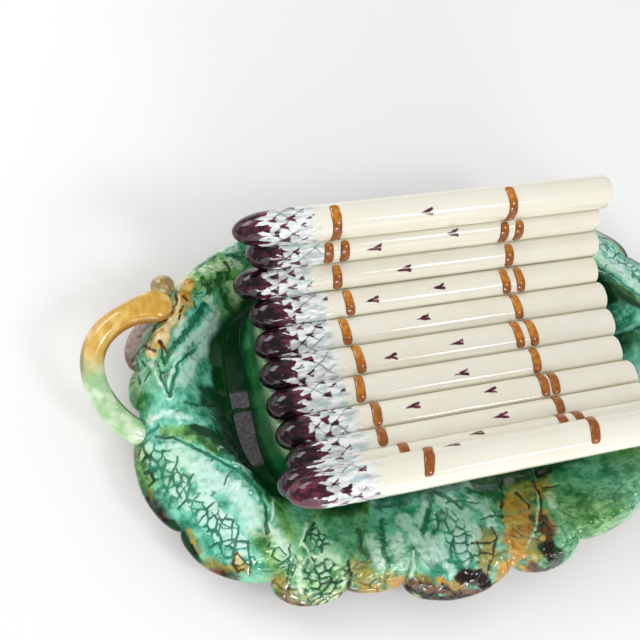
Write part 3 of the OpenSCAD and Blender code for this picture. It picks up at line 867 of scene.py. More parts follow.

# %% [markdown]
# ## Brushwork on the small leaf and the side leaf
# The small leaf is netted all over, with ribs between its pads and at its sides whose pale is
# partly painted highlight. The side leaf is streaked: dark and pale tongues run out from the trough
# to a rim of olive, amber and nearly black brown. Part of its pale is painted light, which
# brightens it where the cradle shades it.

# %% Brushwork on the small leaf and the side leaf
SMALL_LEAF = {
    "groove": [(1.6, (314, 522), (308, 532), (304, 541)),
               (1.2, (290, 545), (290, 560), (288, 572), (286, 590)), (1.8, (322, 545), (322, 552))],
    "rib": [(2.0, (303, 545), (308, 553), (315, 562), (326, 566)),
            (2.5, (306, 524), (304, 535), (300, 545)), (3.0, (300, 572), (300, 584), (304, 592)),
            (2.2, (342, 574), (343, 588), (336, 604))],
    "pale": [(8.0, (326, 553), (334, 560)), (6.0, (296, 560), (302, 585)),
             (5.0, (312, 556), (322, 562))],
    "olive": [(8.0, (276, 580), (284, 590), (290, 600))],
    "pool": [(1.7, (348, 560), (350, 575), (348, 592), (346, 600))],
    "net": [(19.0, (318, 572), (324, 586), (320, 602)), (9.0, (276, 552), (284, 564)),
            (7.0, (314, 530), (322, 545))]}
SIDE_LEAF = {
    "groove": [(1.6, (435, 490), (448, 497), (462, 508)), (1.5, (454, 540), (450, 550), (452, 561)),
               (2.5, (449, 560), (456, 563)), (1.3, (481, 518), (492, 517), (501, 514)),
               (1.3, (500, 480), (501, 498), (502, 517)), (1.0, (447, 503), (462, 500), (480, 502)),
               (1.2, (491, 528), (497, 538), (493, 550), (490, 567), (489, 577)),
               (1.3, (481, 552), (492, 554)), (1.2, (479, 541), (488, 543), (496, 541))],
    "rib": [(1.8, (413, 552), (413, 567), (409, 582)), (2.0, (404, 556), (398, 563), (391, 571)),
            (2.0, (472, 535), (468, 550), (464, 571))],
    "deep": [(4.0, (433, 491), (428, 509), (423, 531), (419, 545)),
             (4.0, (443, 510), (438, 524), (434, 533)), (3.5, (383, 520), (383, 545), (386, 560)),
             (4.0, (358, 530), (362, 548), (372, 560)), (6.0, (380, 505), (404, 500)),
             (4.5, (480, 529), (475, 544), (470, 560)), (7.0, (500, 497), (488, 490), (470, 488))],
    # pale glaze, partly painted light that brightens the leaf in the shadow of the cradle
    "pale": [(7.0, (395, 540), (404, 562)), (8.0, (452, 512), (470, 530)),
             (6.0, (428, 535), (436, 560)), (5.0, (448, 564), (452, 575)),
             (6.0, (372, 540), (380, 565)), (3.5, (405, 516), (411, 524), (412, 540)),
             (4.0, (398, 534), (402, 548)), (5.0, (425, 505), (418, 520)),
             (6.0, (440, 500), (452, 512), (470, 512)), (6.0, (455, 525), (462, 545), (465, 557)),
             (7.0, (402, 520), (420, 540), (426, 560)), (6.0, (440, 540), (444, 556)),
             (6.0, (470, 500), (484, 506), (492, 524)), (8.0, (450, 500), (462, 516), (474, 534)),
             (4.0, (424, 492), (440, 488), (462, 484), (490, 480)),
             (4.0, (424, 556), (430, 546), (440, 552))],
    "warm": [(5.0, (392, 583), (402, 580)), (8.0, (440, 584), (456, 588)),
             (5.0, (504, 566), (516, 557))],
    "olive": [(8.0, (490, 535), (484, 550), (482, 565)), (15.0, (361, 571), (370, 584)),
              (8.0, (384, 579), (392, 577)), (6.0, (415, 578), (427, 582)),
              (11.0, (484, 534), (486, 552), (484, 569)), (8.0, (497, 560), (506, 565), (500, 575))],
    "umber": [(7.0, (412, 584), (430, 589), (446, 591)), (6.0, (446, 595), (462, 596), (478, 593)),
              (9.0, (464, 577), (476, 578), (485, 586))],
    "pool": [(7.0, (462, 575), (475, 576), (486, 584)),
             (3.5, (408, 588), (426, 595), (446, 599), (470, 597))],
    "net": [(15.0, (446, 524), (460, 538), (468, 552))]}
print("strokes on the small and the side leaf:", count_strokes(SMALL_LEAF, SIDE_LEAF))

# %% [markdown]
# ## Brushwork on the long leaf and behind the tips
# The long leaf leaves the picture at the right: amber beside the side leaf, then a golden rib,
# its light gold partly painted highlight, with a groove along it, then green and brown. Of the
# leaf behind the tips only the end shows.

# %% Brushwork on the long leaf and behind the tips
LONG_LEAF = {
    "groove": [(1.5, (533, 480), (540, 494), (541, 510), (537, 533)),
               (1.2, (516, 492), (524, 500), (530, 508)), (1.4, (545, 487), (552, 486), (558, 484))],
    "rib": [(1.3, (531, 466), (534, 480), (538, 494), (538, 510), (534, 533), (526, 548))],
    "pale": [(5.0, (550, 495), (552, 505))],
    "warm": [(13.0, (514, 503), (522, 516), (524, 532), (517, 549)),
             (7.0, (525, 548), (515, 560), (503, 572)), (9.0, (541, 515), (547, 530), (543, 546)),
             (4.0, (538, 483), (541, 497)), (9.0, (508, 508), (512, 524), (508, 540)),
             (3.0, (520, 566), (532, 572), (544, 578))],
    "olive": [(12.0, (508, 478), (520, 482), (529, 492)), (9.0, (530, 560), (540, 553)),
              (8.0, (541, 478), (546, 490))],
    "umber": [(3.0, (530, 516), (533, 520)), (5.0, (543, 520), (550, 540), (548, 556)),
              (7.0, (532, 567), (541, 572)), (7.0, (542, 526), (549, 534)),
              (5.0, (537, 475), (548, 470))],
    "pool": [(9.0, (548, 548), (554, 560), (550, 574)), (8.0, (557, 555), (556, 566), (551, 575))]}
BEHIND_TIPS = {
    "groove": [(1.3, (197, 268), (206, 260), (216, 257)), (1.4, (224, 262), (229, 270), (228, 280))],
    "deep": [(4.0, (218, 266), (219, 276), (221, 286)), (3.0, (228, 256), (240, 258)),
             (3.0, (221, 288), (228, 304), (236, 316)), (3.0, (203, 278), (208, 288), (206, 300))],
    "pale": [(6.0, (204, 268), (216, 268), (230, 262)), (4.0, (222, 250), (234, 249)),
             (4.0, (230, 284), (238, 300)), (4.0, (208, 298), (216, 310)),
             (3.0, (231, 262), (240, 266))],
    "green": [(18.0, (200, 278), (220, 268), (234, 288), (238, 310))]}
print("strokes on the long leaf and behind the tips:", count_strokes(LONG_LEAF, BEHIND_TIPS))

# %% [markdown]
# ## From the picture to the leaves
# A point of a leaf is sent through the camera to find the strokes over it. Each kind of stroke
# gives a mask: 1 in the middle of the stroke and 0 outside it. The strokes could be an image on
# the leaves, but then they couldn't be pressed into the clay as well. The leaves of the far half
# are the near ones turned round, and are painted like them.

# %% From the picture to the leaves
PICTURE_MIDDLE = PICTURE_SIDE / 2
REGIONS = (END_LEAF_VEINS, END_LEAF_MARGIN, AMBER_BAND, CORNER_LEAF, SMALL_LEAF, SIDE_LEAF,
           LONG_LEAF, BEHIND_TIPS)
STROKES = [(kind, half, line)
           for region in REGIONS for kind, rows in region.items() for half, *line in rows]
KINDS = ("groove", "rib", "deep", "pale", "green", "warm", "olive", "umber", "bare", "pool", "net")
LEAF_BEHIND_TIPS = 9


def to_line(a, b, line):
    """Distance from each point to a broken line, in the same units."""
    best = np.full(a.shape, 1e9)
    for (a0, b0), (a1, b1) in zip(line, line[1:]):
        da, db = a1 - a0, b1 - b0
        t = np.clip(((a - a0) * da + (b - b0) * db) / (da * da + db * db + 1e-9), 0, 1)
        best = np.minimum(best, np.hypot(a - a0 - t * da, b - b0 - t * db))
    return best


def picture_place(spots):
    """Where points in mm lie in the picture, in pixels from its upper left corner."""
    far = spots - np.array(camera_place) / MM
    deep = -(far @ np.array(looks_back))
    return np.column_stack([PICTURE_MIDDLE + FOCAL_PIXELS * (far @ np.array(picture_right)) / deep,
                            PICTURE_MIDDLE - FOCAL_PIXELS * (far @ np.array(picture_up)) / deep])


def brushwork(index, t, s, sway, press):
    """For each kind of stroke how strongly it covers each point of a leaf."""
    twin = index if index == LEAF_BEHIND_TIPS else index % 5
    x, y = picture_place(on_leaf(twin, t, s)).T
    x, y = x + sway[0], y + sway[1]
    masks = {kind: np.zeros(t.shape) for kind in KINDS}
    for kind, half, line in STROKES:
        low, high = np.min(line, 0) - 2 * half, np.max(line, 0) + 2 * half
        near = (x > low[0]) & (x < high[0]) & (y > low[1]) & (y < high[1])
        d = to_line(x[near], y[near], line) / (half * press[near])
        masks[kind][near] = np.maximum(masks[kind][near], np.clip(1.5 - d, 0, 1))
    return masks


print("strokes drawn by hand:", len(STROKES))

# %% [markdown]
# ## Leaf relief
# What isn't drawn as listed strokes follows a style for each leaf of a half ring. A net of veins
# leaves raised cells between its grooves, ribs stand up, and soft lumps lie under it all. The same
# numbers that raise the clay then steer the glaze, so that it pools in the grooves and thins to a
# pale skin on the domes, as on the real plate.

# %% Leaf relief
# Each style says how large its cells are in mm, how strong their net is and where it fades in
# across the leaf, how green it is, how much amber is at its rim, the cell size and half line of
# the nets that are listed as strokes, how much dark glaze clouds it, where dark glaze gathers and
# painted shade deepens it, and where the net is left out. Patches have a middle, two radii and a
# weight, along and across the leaf.
LEAF_STYLES = [
    {"cell": 6.0, "net": 0.35, "from": (1.05, 1.4), "green": 0.15, "edge": 0.4,
     "web": (6.4, 0.8), "deep": 0.65,
     "pool": [(0.6, 0.0, 0.9, 0.35, 1.0), (1.0, 0.3, 0.25, 0.5, 0.7)],
     "plain": [(0.6, 0.5, 0.6, 0.7, 1.0)]},
    {"cell": 8.5, "net": 0.35, "from": (0.95, 1.12), "green": 0.2, "edge": 0.0,
     "web": (7.0, 0.8), "deep": 0.55,
     "pool": [(0.5, 0.0, 0.8, 0.6, 1.0), (0.4, 2.05, 0.3, 0.2, 0.6)],
     "plain": [(0.45, 1.3, 0.5, 0.35, 0.9)]},
    {"cell": 5.5, "net": 0.7, "from": (0.6, 1.0), "green": 1.0, "edge": 0.5,
     "web": (5.6, 1.2), "deep": 0.45,
     "pool": [(0.5, 0.0, 1.0, 0.45, 0.8)],
     "plain": []},
    {"cell": 6.5, "net": 0.55, "from": (0.5, 0.9), "green": 0.1, "edge": 0.7,
     "web": (6.4, 0.8), "deep": 0.2,
     "pool": [(0.5, 0.0, 1.0, 0.2, 0.7)],
     "plain": []},
    {"cell": 6.0, "net": 0.6, "from": (0.4, 0.8), "green": 0.7, "edge": 0.7,
     "web": (6.4, 0.8), "deep": 0.4,
     "pool": [(0.5, 0.0, 1.0, 0.35, 0.8)],
     "plain": []}]


def patch(t, s, spots):
    """Soft round patches, each with its middle, its two radii and its weight."""
    mask = np.zeros(t.shape)
    for t0, s0, rt, rs, weight in spots:
        d = np.hypot((t - t0) / rt, (s - s0) / rs)
        mask = np.maximum(mask, weight * ease(d, 1.15, 0.45))
    return mask


def leaf_relief(index, t, s, a, b):
    """Height of the relief in mm and the masks of the glaze. The mm along and across are a, b."""
    style, seed = LEAF_STYLES[index % 5], 100 + 17 * index
    plain = patch(t, s, style["plain"])
    sway = [1.3 * lumps(a, b, 7, seed + k) + 0.9 * lumps(a, b, 2.6, seed + k + 20) for k in (5, 6)]
    masks = brushwork(index, t, s, sway, 0.95 + 0.35 * lumps(a, b, 4, seed + 30))
    # rib strokes raise the clay and paint it pale; many lie along the glints, so their pale is partly
    # painted highlight
    web, rib = ease(masks.pop("net"), 0.2, 0.8), masks.pop("rib")
    # the cells of the style, large over small, and the finer cells of the nets listed as strokes
    wa = a + 2.4 * lumps(a, b, 11, seed)
    wb = b + 2.4 * lumps(a, b, 11, seed + 1)
    big, _ = cells(wa, wb, 2.1 * style["cell"], seed + 2)
    small, mark = cells(wa, wb, style["cell"], seed + 3)
    web_size, web_half = style["web"]
    fine, light = cells(wa, wb, web_size, seed + 14)
    net = style["net"] * ease(s, *style["from"]) * (1 - plain) * (1 - web)
    net = net * (0.35 + 0.65 * ease(lumps(a, b, 15, seed + 4), -0.8, 0.1))
    dome = ease(small, 0, 0.35 * style["cell"]) * net
    groove = np.maximum(ease(big, 1.15, 0.3), 0.8 * ease(small, 0.85, 0.2)) * net
    web_line = ease(fine, 1.2 * web_half, 0.35 * web_half) * web
    groove = np.maximum(groove, np.maximum(masks["groove"], 0.9 * web_line))
    # the clay: lumps with the pattern on them, calmer towards the rim
    height = (0.7 * lumps(a, b, 10, seed + 7) + 0.3 * lumps(a, b, 4.5, seed + 31)) * ease(s, 0.2, 0.8)
    height = height + 0.55 * dome - 0.8 * groove + 0.7 * rib - 0.3 * masks["deep"]
    height = height * (1 - 0.7 * ease(s, 1.5, 1.9))
    # the glaze: what the relief and the style add to the strokes
    at_rim, patchy = ease(s, 1.5, 1.9), lumps(a, b, 18, seed + 8) + 0.9 * (s - 1.7)
    clouds = ease(lumps(a, b * 0.45, 8, seed + 12), 0.1, 0.8) * ease(s, 0.2, 0.6) * (1 - 0.6 * plain)
    on_domes = (0.55 * dome * mark + 0.35 * dome) * style["net"]
    in_web = (0.5 + 0.45 * light) * ease(fine, 0.2, 1.4) * web
    added = {
        "groove": groove,
        "warm": style["edge"] * ease(patchy, 0.2, 0.7) * at_rim,
        "umber": 0.8 * ease(s, 1.82, 2.0) * ease(lumps(a, b, 16, seed + 10), -0.3, 0.4),
        "green": np.clip(style["green"] + 0.6 * lumps(a, b, 30, seed + 9) - 0.1, 0, 1),
        "deep": style["deep"] * clouds,
        "pool": patch(t, s, style["pool"]),
        "pale": np.maximum(rib, np.maximum(on_domes, in_web))}
    for kind, more in added.items():
        masks[kind] = np.maximum(masks[kind], more)
    return height, masks


print("styles:", len(LEAF_STYLES), "leaves:", len(LEAF_NODES))

# %% [markdown]
# ## Leaves
# A leaf starts as a flat grid, like a slab rolled out of clay, and is laid over the formula.
# Its rows run up from the foot, over the ridge, round the edge and back underneath, and its two
# open ends are closed with a face each, so the slab becomes a shell. Each leaf is tucked a little
# under the one before it and laps over the next with a rounded end.

# %% Leaves
GRAIN, TUCK, LAP, LAP_ROUND, END_STEP = 0.75, 3.0, 3.5, 2.4, 0.35
FIRST_END, LAST_END = 1, 2


def leaf_rows(index):
    """The rows of a leaf: place on the section, turn round the edge, and mm from the well."""
    fine = np.linspace(0, 2, 400)
    reach, height = leaf_section(leaf_columns(index, np.array([0.5])), fine)
    travelled = np.concatenate([[0], np.cumsum(np.hypot(np.diff(reach), np.diff(height)))])
    top = np.interp(np.linspace(0, travelled[-1], int(travelled[-1] / GRAIN)), travelled, fine)
    bend = np.linspace(0, np.pi, 9)[1:-1]
    below = np.linspace(2, 0, 16)
    s_of = np.concatenate([top, np.full(len(bend), 2.0), below, [0.0]])
    turn_of = np.concatenate([np.zeros(len(top)), bend, np.full(len(below), np.pi), [0.0]])
    return s_of, turn_of, np.interp(s_of, fine, travelled)


def shell_points(column, s, turn, relief):
    """Points in mm of the shell of a leaf: upper face, rolled edge and underside."""
    reach, height = leaf_section(column, s)
    step = 0.01
    low, high = leaf_section(column, np.maximum(s - step, 0)), leaf_section(column, np.minimum(s + step, 2))
    run, climb = high[0] - low[0], high[1] - low[1]
    size = np.hypot(run, climb)
    run, climb = run / size, climb / size
    half = LEAF_T / 2
    out = reach - climb * (-half + half * np.cos(turn) + relief) + run * half * np.sin(turn)
    up = height + run * (-half + half * np.cos(turn) + relief) + climb * half * np.sin(turn)
    return out, np.where(turn > 3, np.maximum(up, FOOT_H), up)


def close_end(piece, mark):
    """One face over the open end whose points carry the mark."""
    bpy.ops.mesh.select_mode(type="VERT")
    bpy.ops.mesh.select_all(action="DESELECT")
    bpy.ops.object.mode_set(mode="OBJECT")
    ends = np.empty(len(piece.data.vertices), dtype=np.float32)
    piece.data.attributes["end"].data.foreach_get("value", ends)
    piece.data.vertices.foreach_set("select", np.abs(ends - mark) < 0.01)
    bpy.ops.object.mode_set(mode="EDIT")
    bpy.ops.mesh.edge_face_add()


def make_leaf(index):
    start, end = HALF_RING[index % 5][:2]
    mid = leaf_columns(index, np.array([0.5]))
    radius = float(np.hypot(*(mid["inner"] + mid["out"] * mid["width"][:, None])[0]))
    length = np.radians(end - start) * radius
    t_of = np.linspace(-TUCK / length, 1 + LAP / length, int(length * 1.06 / GRAIN))
    s_of, turn_of, b_of = leaf_rows(index)
    fresh()
    bpy.ops.mesh.primitive_grid_add(x_subdivisions=len(t_of) - 1, y_subdivisions=len(s_of) - 1, size=1)
    piece = named("glazed_" + LEAF_NODES[index])
    slab = points(piece)
    i = np.rint((slab[:, 0] + 0.5) * (len(t_of) - 1)).astype(int)
    j = np.rint((slab[:, 1] + 0.5) * (len(s_of) - 1)).astype(int)
    t, s, turn, a, b = t_of[i], s_of[j], turn_of[j], t_of[i] * length, b_of[j]
    relief, masks = leaf_relief(index, t, s, a, b)
    upper = ease(turn, 2.2, 0.6)
    end_gap = np.minimum(a + TUCK, LAP + length - a)
    laid = np.clip(LAP + length - a, 0, LAP_ROUND)
    curl = LAP_ROUND - np.sqrt(np.maximum(LAP_ROUND ** 2 - (LAP_ROUND - laid) ** 2, 0))
    relief = relief * upper * ease(end_gap, 0.0, 2.5) - np.where(t > 0.5, curl, 0) * upper
    relief = relief - END_STEP * (t < 0)
    column = leaf_columns(index, t)
    out, up = shell_points(column, s, turn, relief)
    shut = j == len(s_of) - 1
    out, up = np.where(shut, 0, out), np.where(shut, FLOOR_Z, up)
    place_points(piece, np.column_stack([column["inner"] + column["out"] * out[:, None], up]) * MM)
    end_mark = np.where(i == 0, FIRST_END, np.where(i == i.max(), LAST_END, 0))
    paint_on(piece, under=ease(turn, 1.1, 1.9), end=end_mark, **masks)
    bpy.ops.object.mode_set(mode="EDIT")
    bpy.ops.mesh.select_all(action="SELECT")
    bpy.ops.mesh.remove_doubles(threshold=0.02 * MM)
    for mark in (FIRST_END, LAST_END):
        close_end(piece, mark)
    face_outwards()
    return finish_piece(piece, leaf_glaze, "leaf_glaze", LEAF_NODES[index])


leaves = [make_leaf(index) for index in range(len(LEAF_NODES))]
print("leaves:", len(leaves), "faces:", sum(len(leaf.data.polygons) for leaf in leaves))

# %% [markdown]
# ## Stand glaze and floor glaze
# The wall of the stand is deep green, darker at its foot and pale on its top edge. The floor
# keeps its packed shape and only gets a glaze: brown biscuit below, and above a very dark green
# that is glaze and painted shade of the deep trough in one. Before each end of the stand a grey
# patch is painted as the reflection of the room in that dark glaze, crossed by a thin dark green
# line where the reflection breaks.

# %% Stand glaze and floor glaze
stand_glaze = Glaze("stand_glaze", roughness=0.15, coat=0.5, coat_roughness=0.02, specular=0.3)
g = stand_glaze
wall = g.mottle(12, 0.3, 0.7, paint(14, 96, 42), paint(44, 138, 74))
wall = g.mix(g.ragged("height", 5, 0.5, 1.0, much=0.2, detail=3), wall, paint(166, 206, 158))
at_foot = g.ragged("height", 6, 0.3, 0.0, much=0.2, detail=3)
g.colour(g.mix(at_foot, wall, paint(5, 62, 26)))
g.bump(g.noise(9, 3), 0.4, 0.3)

floor_glaze = Glaze("floor_glaze", roughness=0.2, coat=0.4, coat_roughness=0.05, specular=0.3)
g = floor_glaze
lengthways, sideways, upward = (
    g.node("ShaderNodeSeparateXYZ", {}, {0: g.place}, out=axis) for axis in range(3))
sideways = sideways + (g.noise(5, 3) - 0.5) * (4 * MM)
right_end = g.step(lengthways, -MM, MM)
turned_round = 2 * CRADLE_Y * MM - sideways
sideways = sideways * (1 - right_end) + turned_round * right_end
# painted reflection: a grey patch before each end of the stand, the room mirrored in the dark glaze, with a
# thin dark line across it
thin = g.step(sideways, -31 * MM, -29 * MM) * (1 - g.step(sideways, 13 * MM, 16 * MM))
line = g.step(sideways, 1.5 * MM, 2.5 * MM) * (1 - g.step(sideways, 4.5 * MM, 5.5 * MM))
# glaze and painted shade in one: the floor of the trough is painted darker for its deep shade
pooled = g.mix(g.noise(10, 3), paint(3, 40, 17), paint(8, 66, 30))
mauve = g.mottle(1.6, 0.35, 0.7, paint(86, 81, 85), paint(116, 111, 114), detail=3)
biscuit = g.mottle(7, 0.35, 0.65, paint(104, 86, 76), paint(156, 138, 120))
upper_face = g.step(upward, (FLOOR_Z - 1.5) * MM, (FLOOR_Z - 0.5) * MM)
g.colour(g.mix(upper_face, biscuit, g.mix(thin * (1 - line), pooled, mauve)))
g.bump(g.noise(4, 3), 0.3, 0.3)
print("stand and floor glaze nodes:", len(stand_glaze.tree.nodes), len(floor_glaze.tree.nodes))

# %% [markdown]
# ## Stand and floor
# The stand is a plain wall under the cradle. An open ring is extruded up in many short steps and
# down again for the inner face, then bridged at the foot. Its rings are moved so that the wall
# flares at the floor, and its top simply runs up into the spears.

# %% Stand and floor
STAND_INSET, STAND_SIDE, STAND_T, STAND_FLARE, STAND_POWER = 2.5, 60.04, 7.0, 6.0, 5
STAND_AROUND, STAND_LEVELS, FOOT_SUNK, TOP_SUNK = 360, 26, 0.4, 1.0


def stand_place(angle, inset):
    half_len, half_wid = CRADLE_HALF - STAND_INSET - inset, STAND_SIDE - inset
    ring = oval(half_len, half_wid, STAND_POWER, angle)
    return np.stack([ring * np.cos(angle), CRADLE_Y + ring * np.sin(angle)], -1)


def cradle_underside(y):
    """Height of the underside of the cradle at each y, a little inside the spears."""
    height = np.full(y.shape, 1e9)
    for k in range(-5, 6):
        y0, z0 = spear_centre(k)
        inside = np.abs(y - y0) < PITCH / 2 + 0.5
        drop = np.sqrt(np.maximum((SPEAR_R - TOP_SUNK) ** 2 - (y - y0) ** 2, 0))
        height = np.minimum(height, np.where(inside, z0 - drop, 1e9))
    return height


def open_ring(name):
    """A ring of loose edges, left in edit mode with all of it selected."""
    fresh()
    bpy.ops.mesh.primitive_cylinder_add(vertices=STAND_AROUND, radius=1, depth=1, end_fill_type="NOTHING")
    piece = named(name)
    bpy.ops.object.mode_set(mode="EDIT")
    bpy.ops.mesh.select_all(action="SELECT")
    bpy.ops.mesh.delete(type="ONLY_FACE")
    bpy.ops.mesh.select_mode(type="VERT")
    bpy.ops.object.mode_set(mode="OBJECT")
    for vertex in piece.data.vertices:
        vertex.select = vertex.co.z > 0
    bpy.ops.object.mode_set(mode="EDIT")
    bpy.ops.mesh.delete(type="VERT")
    bpy.ops.mesh.select_all(action="SELECT")
    return piece


def make_stand():
    piece = open_ring("glazed_stand")
    for _ in range(2 * STAND_LEVELS + 1):
        bpy.ops.mesh.extrude_region_move(TRANSFORM_OT_translate={"value": (0, 0, 1)})
    bpy.ops.object.mode_set(mode="OBJECT")
    ring = points(piece)
    level = np.rint(ring[:, 2] + 0.5).astype(int)
    angle = np.arctan2(ring[:, 1], ring[:, 0])
    outside = level <= STAND_LEVELS
    share = np.where(outside, level, 2 * STAND_LEVELS + 1 - level) / STAND_LEVELS
    flare = STAND_FLARE * (1 - share) ** 3
    flat = stand_place(angle, np.where(outside, -flare, STAND_T))
    foot, top = FLOOR_Z - FOOT_SUNK, cradle_underside(flat[:, 1])
    place_points(piece, np.column_stack([flat, foot + share * (top - foot)]) * MM)
    paint_on(piece, height=share)
    bpy.ops.object.mode_set(mode="EDIT")
    bpy.ops.mesh.select_all(action="DESELECT")
    bpy.ops.mesh.select_non_manifold()
    bpy.ops.mesh.bridge_edge_loops()
    face_outwards()
    return finish_piece(piece, stand_glaze, "stand_glaze", "stand")


stand = make_stand()
floor_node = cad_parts["dish_floor"]
for material_slot in floor_node.material_slots:
    material_slot.material = floor_glaze.material
print("stand faces:", len(stand.data.polygons))

# %% [markdown]
# ## Handle glaze
# The twig is honey yellow at its broad pad and runs into sprout green towards the luted end, with
# brown along its edges, painted shade in dark green along its inner side, and a dark knot. The
# stub beside the pad is bark with a dark pith.

# %% Handle glaze
handle_glaze = Glaze("handle_glaze", roughness=0.13, coat=0.5, coat_roughness=0.02)
g = handle_glaze
honey = g.mottle(6, 0.35, 0.7, paint(212, 160, 58), paint(240, 206, 120), stretch=(1, 0.5, 1))
sprout = g.mottle(7, 0.35, 0.7, paint(164, 206, 150), paint(220, 238, 208), detail=3)
twig = g.mix(g.ragged("along", 12, 0.36, 0.54, much=0.14, detail=3), honey, sprout)
browned = g.ragged("rim", 4, 0.35, 0.95, much=0.3, detail=3)
twig = g.mix(browned * 0.75, twig, paint(150, 84, 26))
twig = g.mix(g.attribute("dark") * 0.7, twig, paint(96, 92, 26))
# painted shade: dark green along the inner side of the twig
shaded = g.ragged("shade", 5, 0.3, 0.8, much=0.3, detail=3)
twig = g.mix(shaded * 0.8, twig, paint(36, 92, 44))
bark = g.mottle(5, 0.35, 0.65, paint(150, 124, 76), paint(196, 182, 136))
g.colour(g.mix(g.attribute("bud"), twig, bark))
g.bump(g.noise(4, 3), 0.3, 0.3)
print("handle glaze nodes:", len(g.tree.nodes))

# %% [markdown]
# ## Twig handles
# A handle is a rolled twig of clay, pressed flat on the end leaf with a thumb and luted under
# the rim of the corner leaf. It is a rod along one smooth curve of four points, as a curve
# object would be, but its section changes on the way: thin at the luted end, a broad pad at
# the other. The stub of a side twig sits beside the pad, as a second ball joined to the rod.

# %% Twig handles
HANDLE_R, HANDLE_REACH, HANDLE_LEAN, HANDLE_BEND, BUD_R = 6.7, 20.0, 3.0, 9.0, 6.3
HANDLE_RINGS, HANDLE_SIDES = 150, 48
PAD_PLACE, LUTED_PLACE = (0.19, 1.0), (3 / 39, 1.95)  # t and s on the end leaf and the corner leaf
TUCK_IN, TUCK_DOWN = 10.5, 5.0
BUD_PLACE, BUD_SHAPE = (4.0, -11.0, 0.8), (1.1, 1, 0.95)


def rounded(share):
    """A quarter circle: 0 at share 0, 1 from share 1 on."""
    return np.sqrt(1 - (1 - np.clip(share, 0, 1)) ** 2)


def make_bud(place):
    """The stub of a side twig, as a ball beside the pad."""
    fresh()
    bpy.ops.mesh.primitive_uv_sphere_add(segments=40, ring_count=24, radius=1)
    bud = named("bud")
    ball = points(bud)
    place_points(bud, (place + BUD_R * ball * BUD_SHAPE) * MM)
    pith = ease(np.hypot(ball[:, 0] + 0.1, ball[:, 1] - 0.1), 0.38, 0.1) * (ball[:, 2] > 0)
    none = ball[:, 0] * 0
    paint_on(bud, along=none, rim=none, shade=none, dark=pith, bud=1 - 0.7 * pith)
    return bud


def handle_route(end_index, out):
    """Four points in mm that draw the handle from its pad out and round to the corner leaf."""
    upper = on_leaf(end_index, *np.array(PAD_PLACE)[:, None])[0]
    lower = on_leaf(end_index + 1, *np.array(LUTED_PLACE)[:, None])[0]
    reach = out * DISH_LEN
    return upper, np.array([
        upper + (0, 0, 0.1 * HANDLE_R),
        (reach + out * HANDLE_REACH * 2.25, upper[1] + out * HANDLE_LEAN, upper[2] + HANDLE_R),
        (reach + out * HANDLE_REACH * 0.95, lower[1] - out * HANDLE_BEND, lower[2] + 0.7 * HANDLE_R),
        lower - (out * TUCK_IN, 0, TUCK_DOWN)])


def make_handle(name, end_index, node):
    out = -1.0 if end_index == 0 else 1.0
    pad_middle, route = handle_route(end_index, out)
    piece, ring, side = spindle(name, HANDLE_RINGS, HANDLE_SIDES)
    t, swing = ring / HANDLE_RINGS, np.radians(side)
    u, w = (1 - t)[:, None], t[:, None]
    centre = u ** 3 * route[0] + 3 * w * u ** 2 * route[1] + 3 * w ** 2 * u * route[2] + w ** 3 * route[3]
    first, second, third = route[1:] - route[:-1]
    way = u ** 2 * first + 2 * w * u * second + w ** 2 * third
    way /= np.linalg.norm(way, axis=1)[:, None]
    left = np.cross((0, 0, 1), way)
    left /= np.linalg.norm(left, axis=1)[:, None]
    up = np.cross(way, left)
    pad = ease(t, 0.16, 0.0)
    ends = rounded(t / 0.05) * rounded((1 - t) / 0.03) * (1 - 0.25 * ease(t, 0.85, 1.0))
    wide = HANDLE_R * ends * (1 + 0.5 * pad + 0.04 * np.sin(9 * t))
    high = HANDLE_R * ends * (1 - 0.35 * pad)
    skin = centre + left * (wide * np.cos(swing))[:, None] + up * (high * np.sin(swing))[:, None]
    place_points(piece, skin * MM)
    inward = np.cos(swing)
    inner_rim = 0.9 * ease(inward, 0.6, 1.0) * ease(t, 0.5, 0.36)
    outer_rim = 0.7 * ease(-inward, 0.4, 1.0) * ease(t, 0.14, 0.24) * ease(t, 0.52, 0.42)
    shade = ease(inward, 0.62, 0.95) * ease(t, 0.56, 0.66)
    dark = ease(np.hypot(1.2 * (t - 0.44), 0.3 * (inward + 0.95)), 0.16, 0.03)
    paint_on(piece, along=t, rim=np.maximum(inner_rim, outer_rim), shade=shade, bud=t * 0, dark=dark)
    bud = make_bud(pad_middle + np.array(BUD_PLACE) * (out, out, 1))
    piece = join_pieces([piece, bud], name)
    face_outwards()
    return finish_piece(piece, handle_glaze, "handle_glaze", node)


handles = [make_handle("glazed_left_handle", 0, "left_handle"),
           make_handle("glazed_right_handle", 5, "right_handle")]
print("handles:", len(handles))

# %% [markdown]
# ## Studio
# Glazes live from what they mirror. Small bright windows, one behind on the left and two in
# front, give the sharp glints, and two broad dim walls give the soft grey sheen on the tips and
# the light under the cradle. The room lights everything evenly but is darker in mirrors, so the
# glazes keep their colour. The floor is plain and pale, and keeps the shadow of the dish.

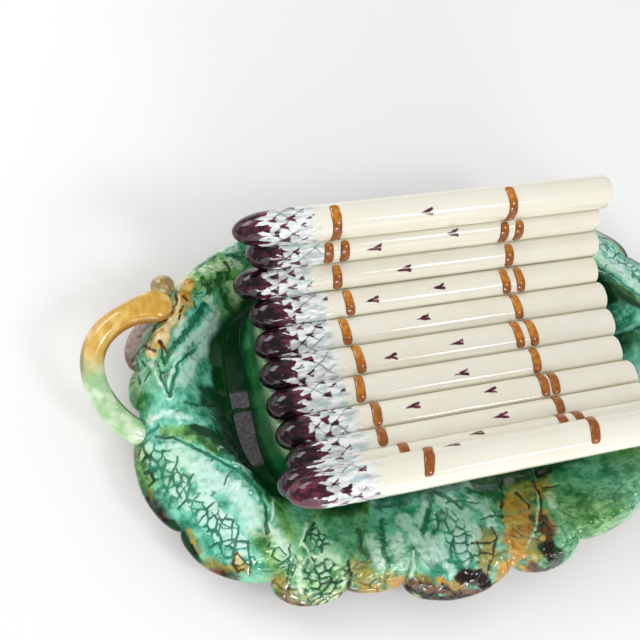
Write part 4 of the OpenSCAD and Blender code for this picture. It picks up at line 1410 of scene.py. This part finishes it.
# %% Studio lights
def softbox(name, place, width, height, watts):
    """A rectangular light that looks at the middle of the dish."""
    data = bpy.data.lights.new(name, "AREA")
    data.shape = "RECTANGLE"
    data.size, data.size_y = width, height
    data.energy = watts
    lamp = bpy.data.objects.new(name, data)
    bpy.context.scene.collection.objects.link(lamp)
    lamp.location = place
    lamp.rotation_euler = (-Vector(place)).to_track_quat("-Z", "Y").to_euler()


softbox("window_back_left", (-0.62, 0.72, 0.88), 0.6, 0.45, 3.4)
softbox("pale_wall_back_left", (-1.25, 0.75, 0.5), 1.5, 0.6, 2.6)
softbox("window_front_right", (0.50, -0.60, 1.02), 0.22, 0.28, 2.2)
softbox("window_in_front", (-0.05, -1.2, 0.62), 0.55, 0.1, 2.8)
softbox("pale_wall_in_front", (-0.1, -1.5, 0.45), 1.8, 0.7, 6.0)

# %% [markdown]
# ## Room and ground
# The light of the room is one number, but a ray can be asked where it goes: the room is a little
# brighter where the camera sees it and darker where a glaze mirrors it.

# %% Room and ground
ROOM_LIGHT, MORE_IN_VIEW, LESS_IN_MIRRORS = 0.66, 0.14, 0.36

fresh()
bpy.ops.mesh.primitive_plane_add(size=8)
ground = named("studio_floor")
ground_paint = Glaze("studio_floor", roughness=0.7, coat=0.0, specular=0.2)
g = ground_paint
g.colour(g.mix(g.noise(300, 2), paint(247, 247, 247), paint(250, 250, 249)))
ground.data.materials.append(g.material)
ground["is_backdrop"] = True

world = bpy.data.worlds.new("room")
bpy.context.scene.world = world
world.use_nodes = True
room = world.node_tree
background = room.nodes["Background"]
background.inputs["Color"].default_value = (1.0, 1.0, 1.0, 1.0)
rays = room.nodes.new("ShaderNodeLightPath")
in_view = Mask(room, rays.outputs["Is Camera Ray"])
in_mirrors = Mask(room, rays.outputs["Is Glossy Ray"])
strength = in_view * MORE_IN_VIEW + ROOM_LIGHT - in_mirrors * LESS_IN_MIRRORS
room.links.new(strength.socket, background.inputs["Strength"])
bpy.context.scene.view_settings.view_transform = "Standard"
print("room light:", ROOM_LIGHT)

# %% [markdown]
# ## Sizes
# How far the visual model has grown past the box of the solids is printed for each corner.

# %% Sizes
look_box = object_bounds()
for look_corner, cad_corner in zip(look_box, cad_box):
    print("grown by mm:", [round((abs(a) - abs(b)) / MM, 2) for a, b in zip(look_corner, cad_corner)])
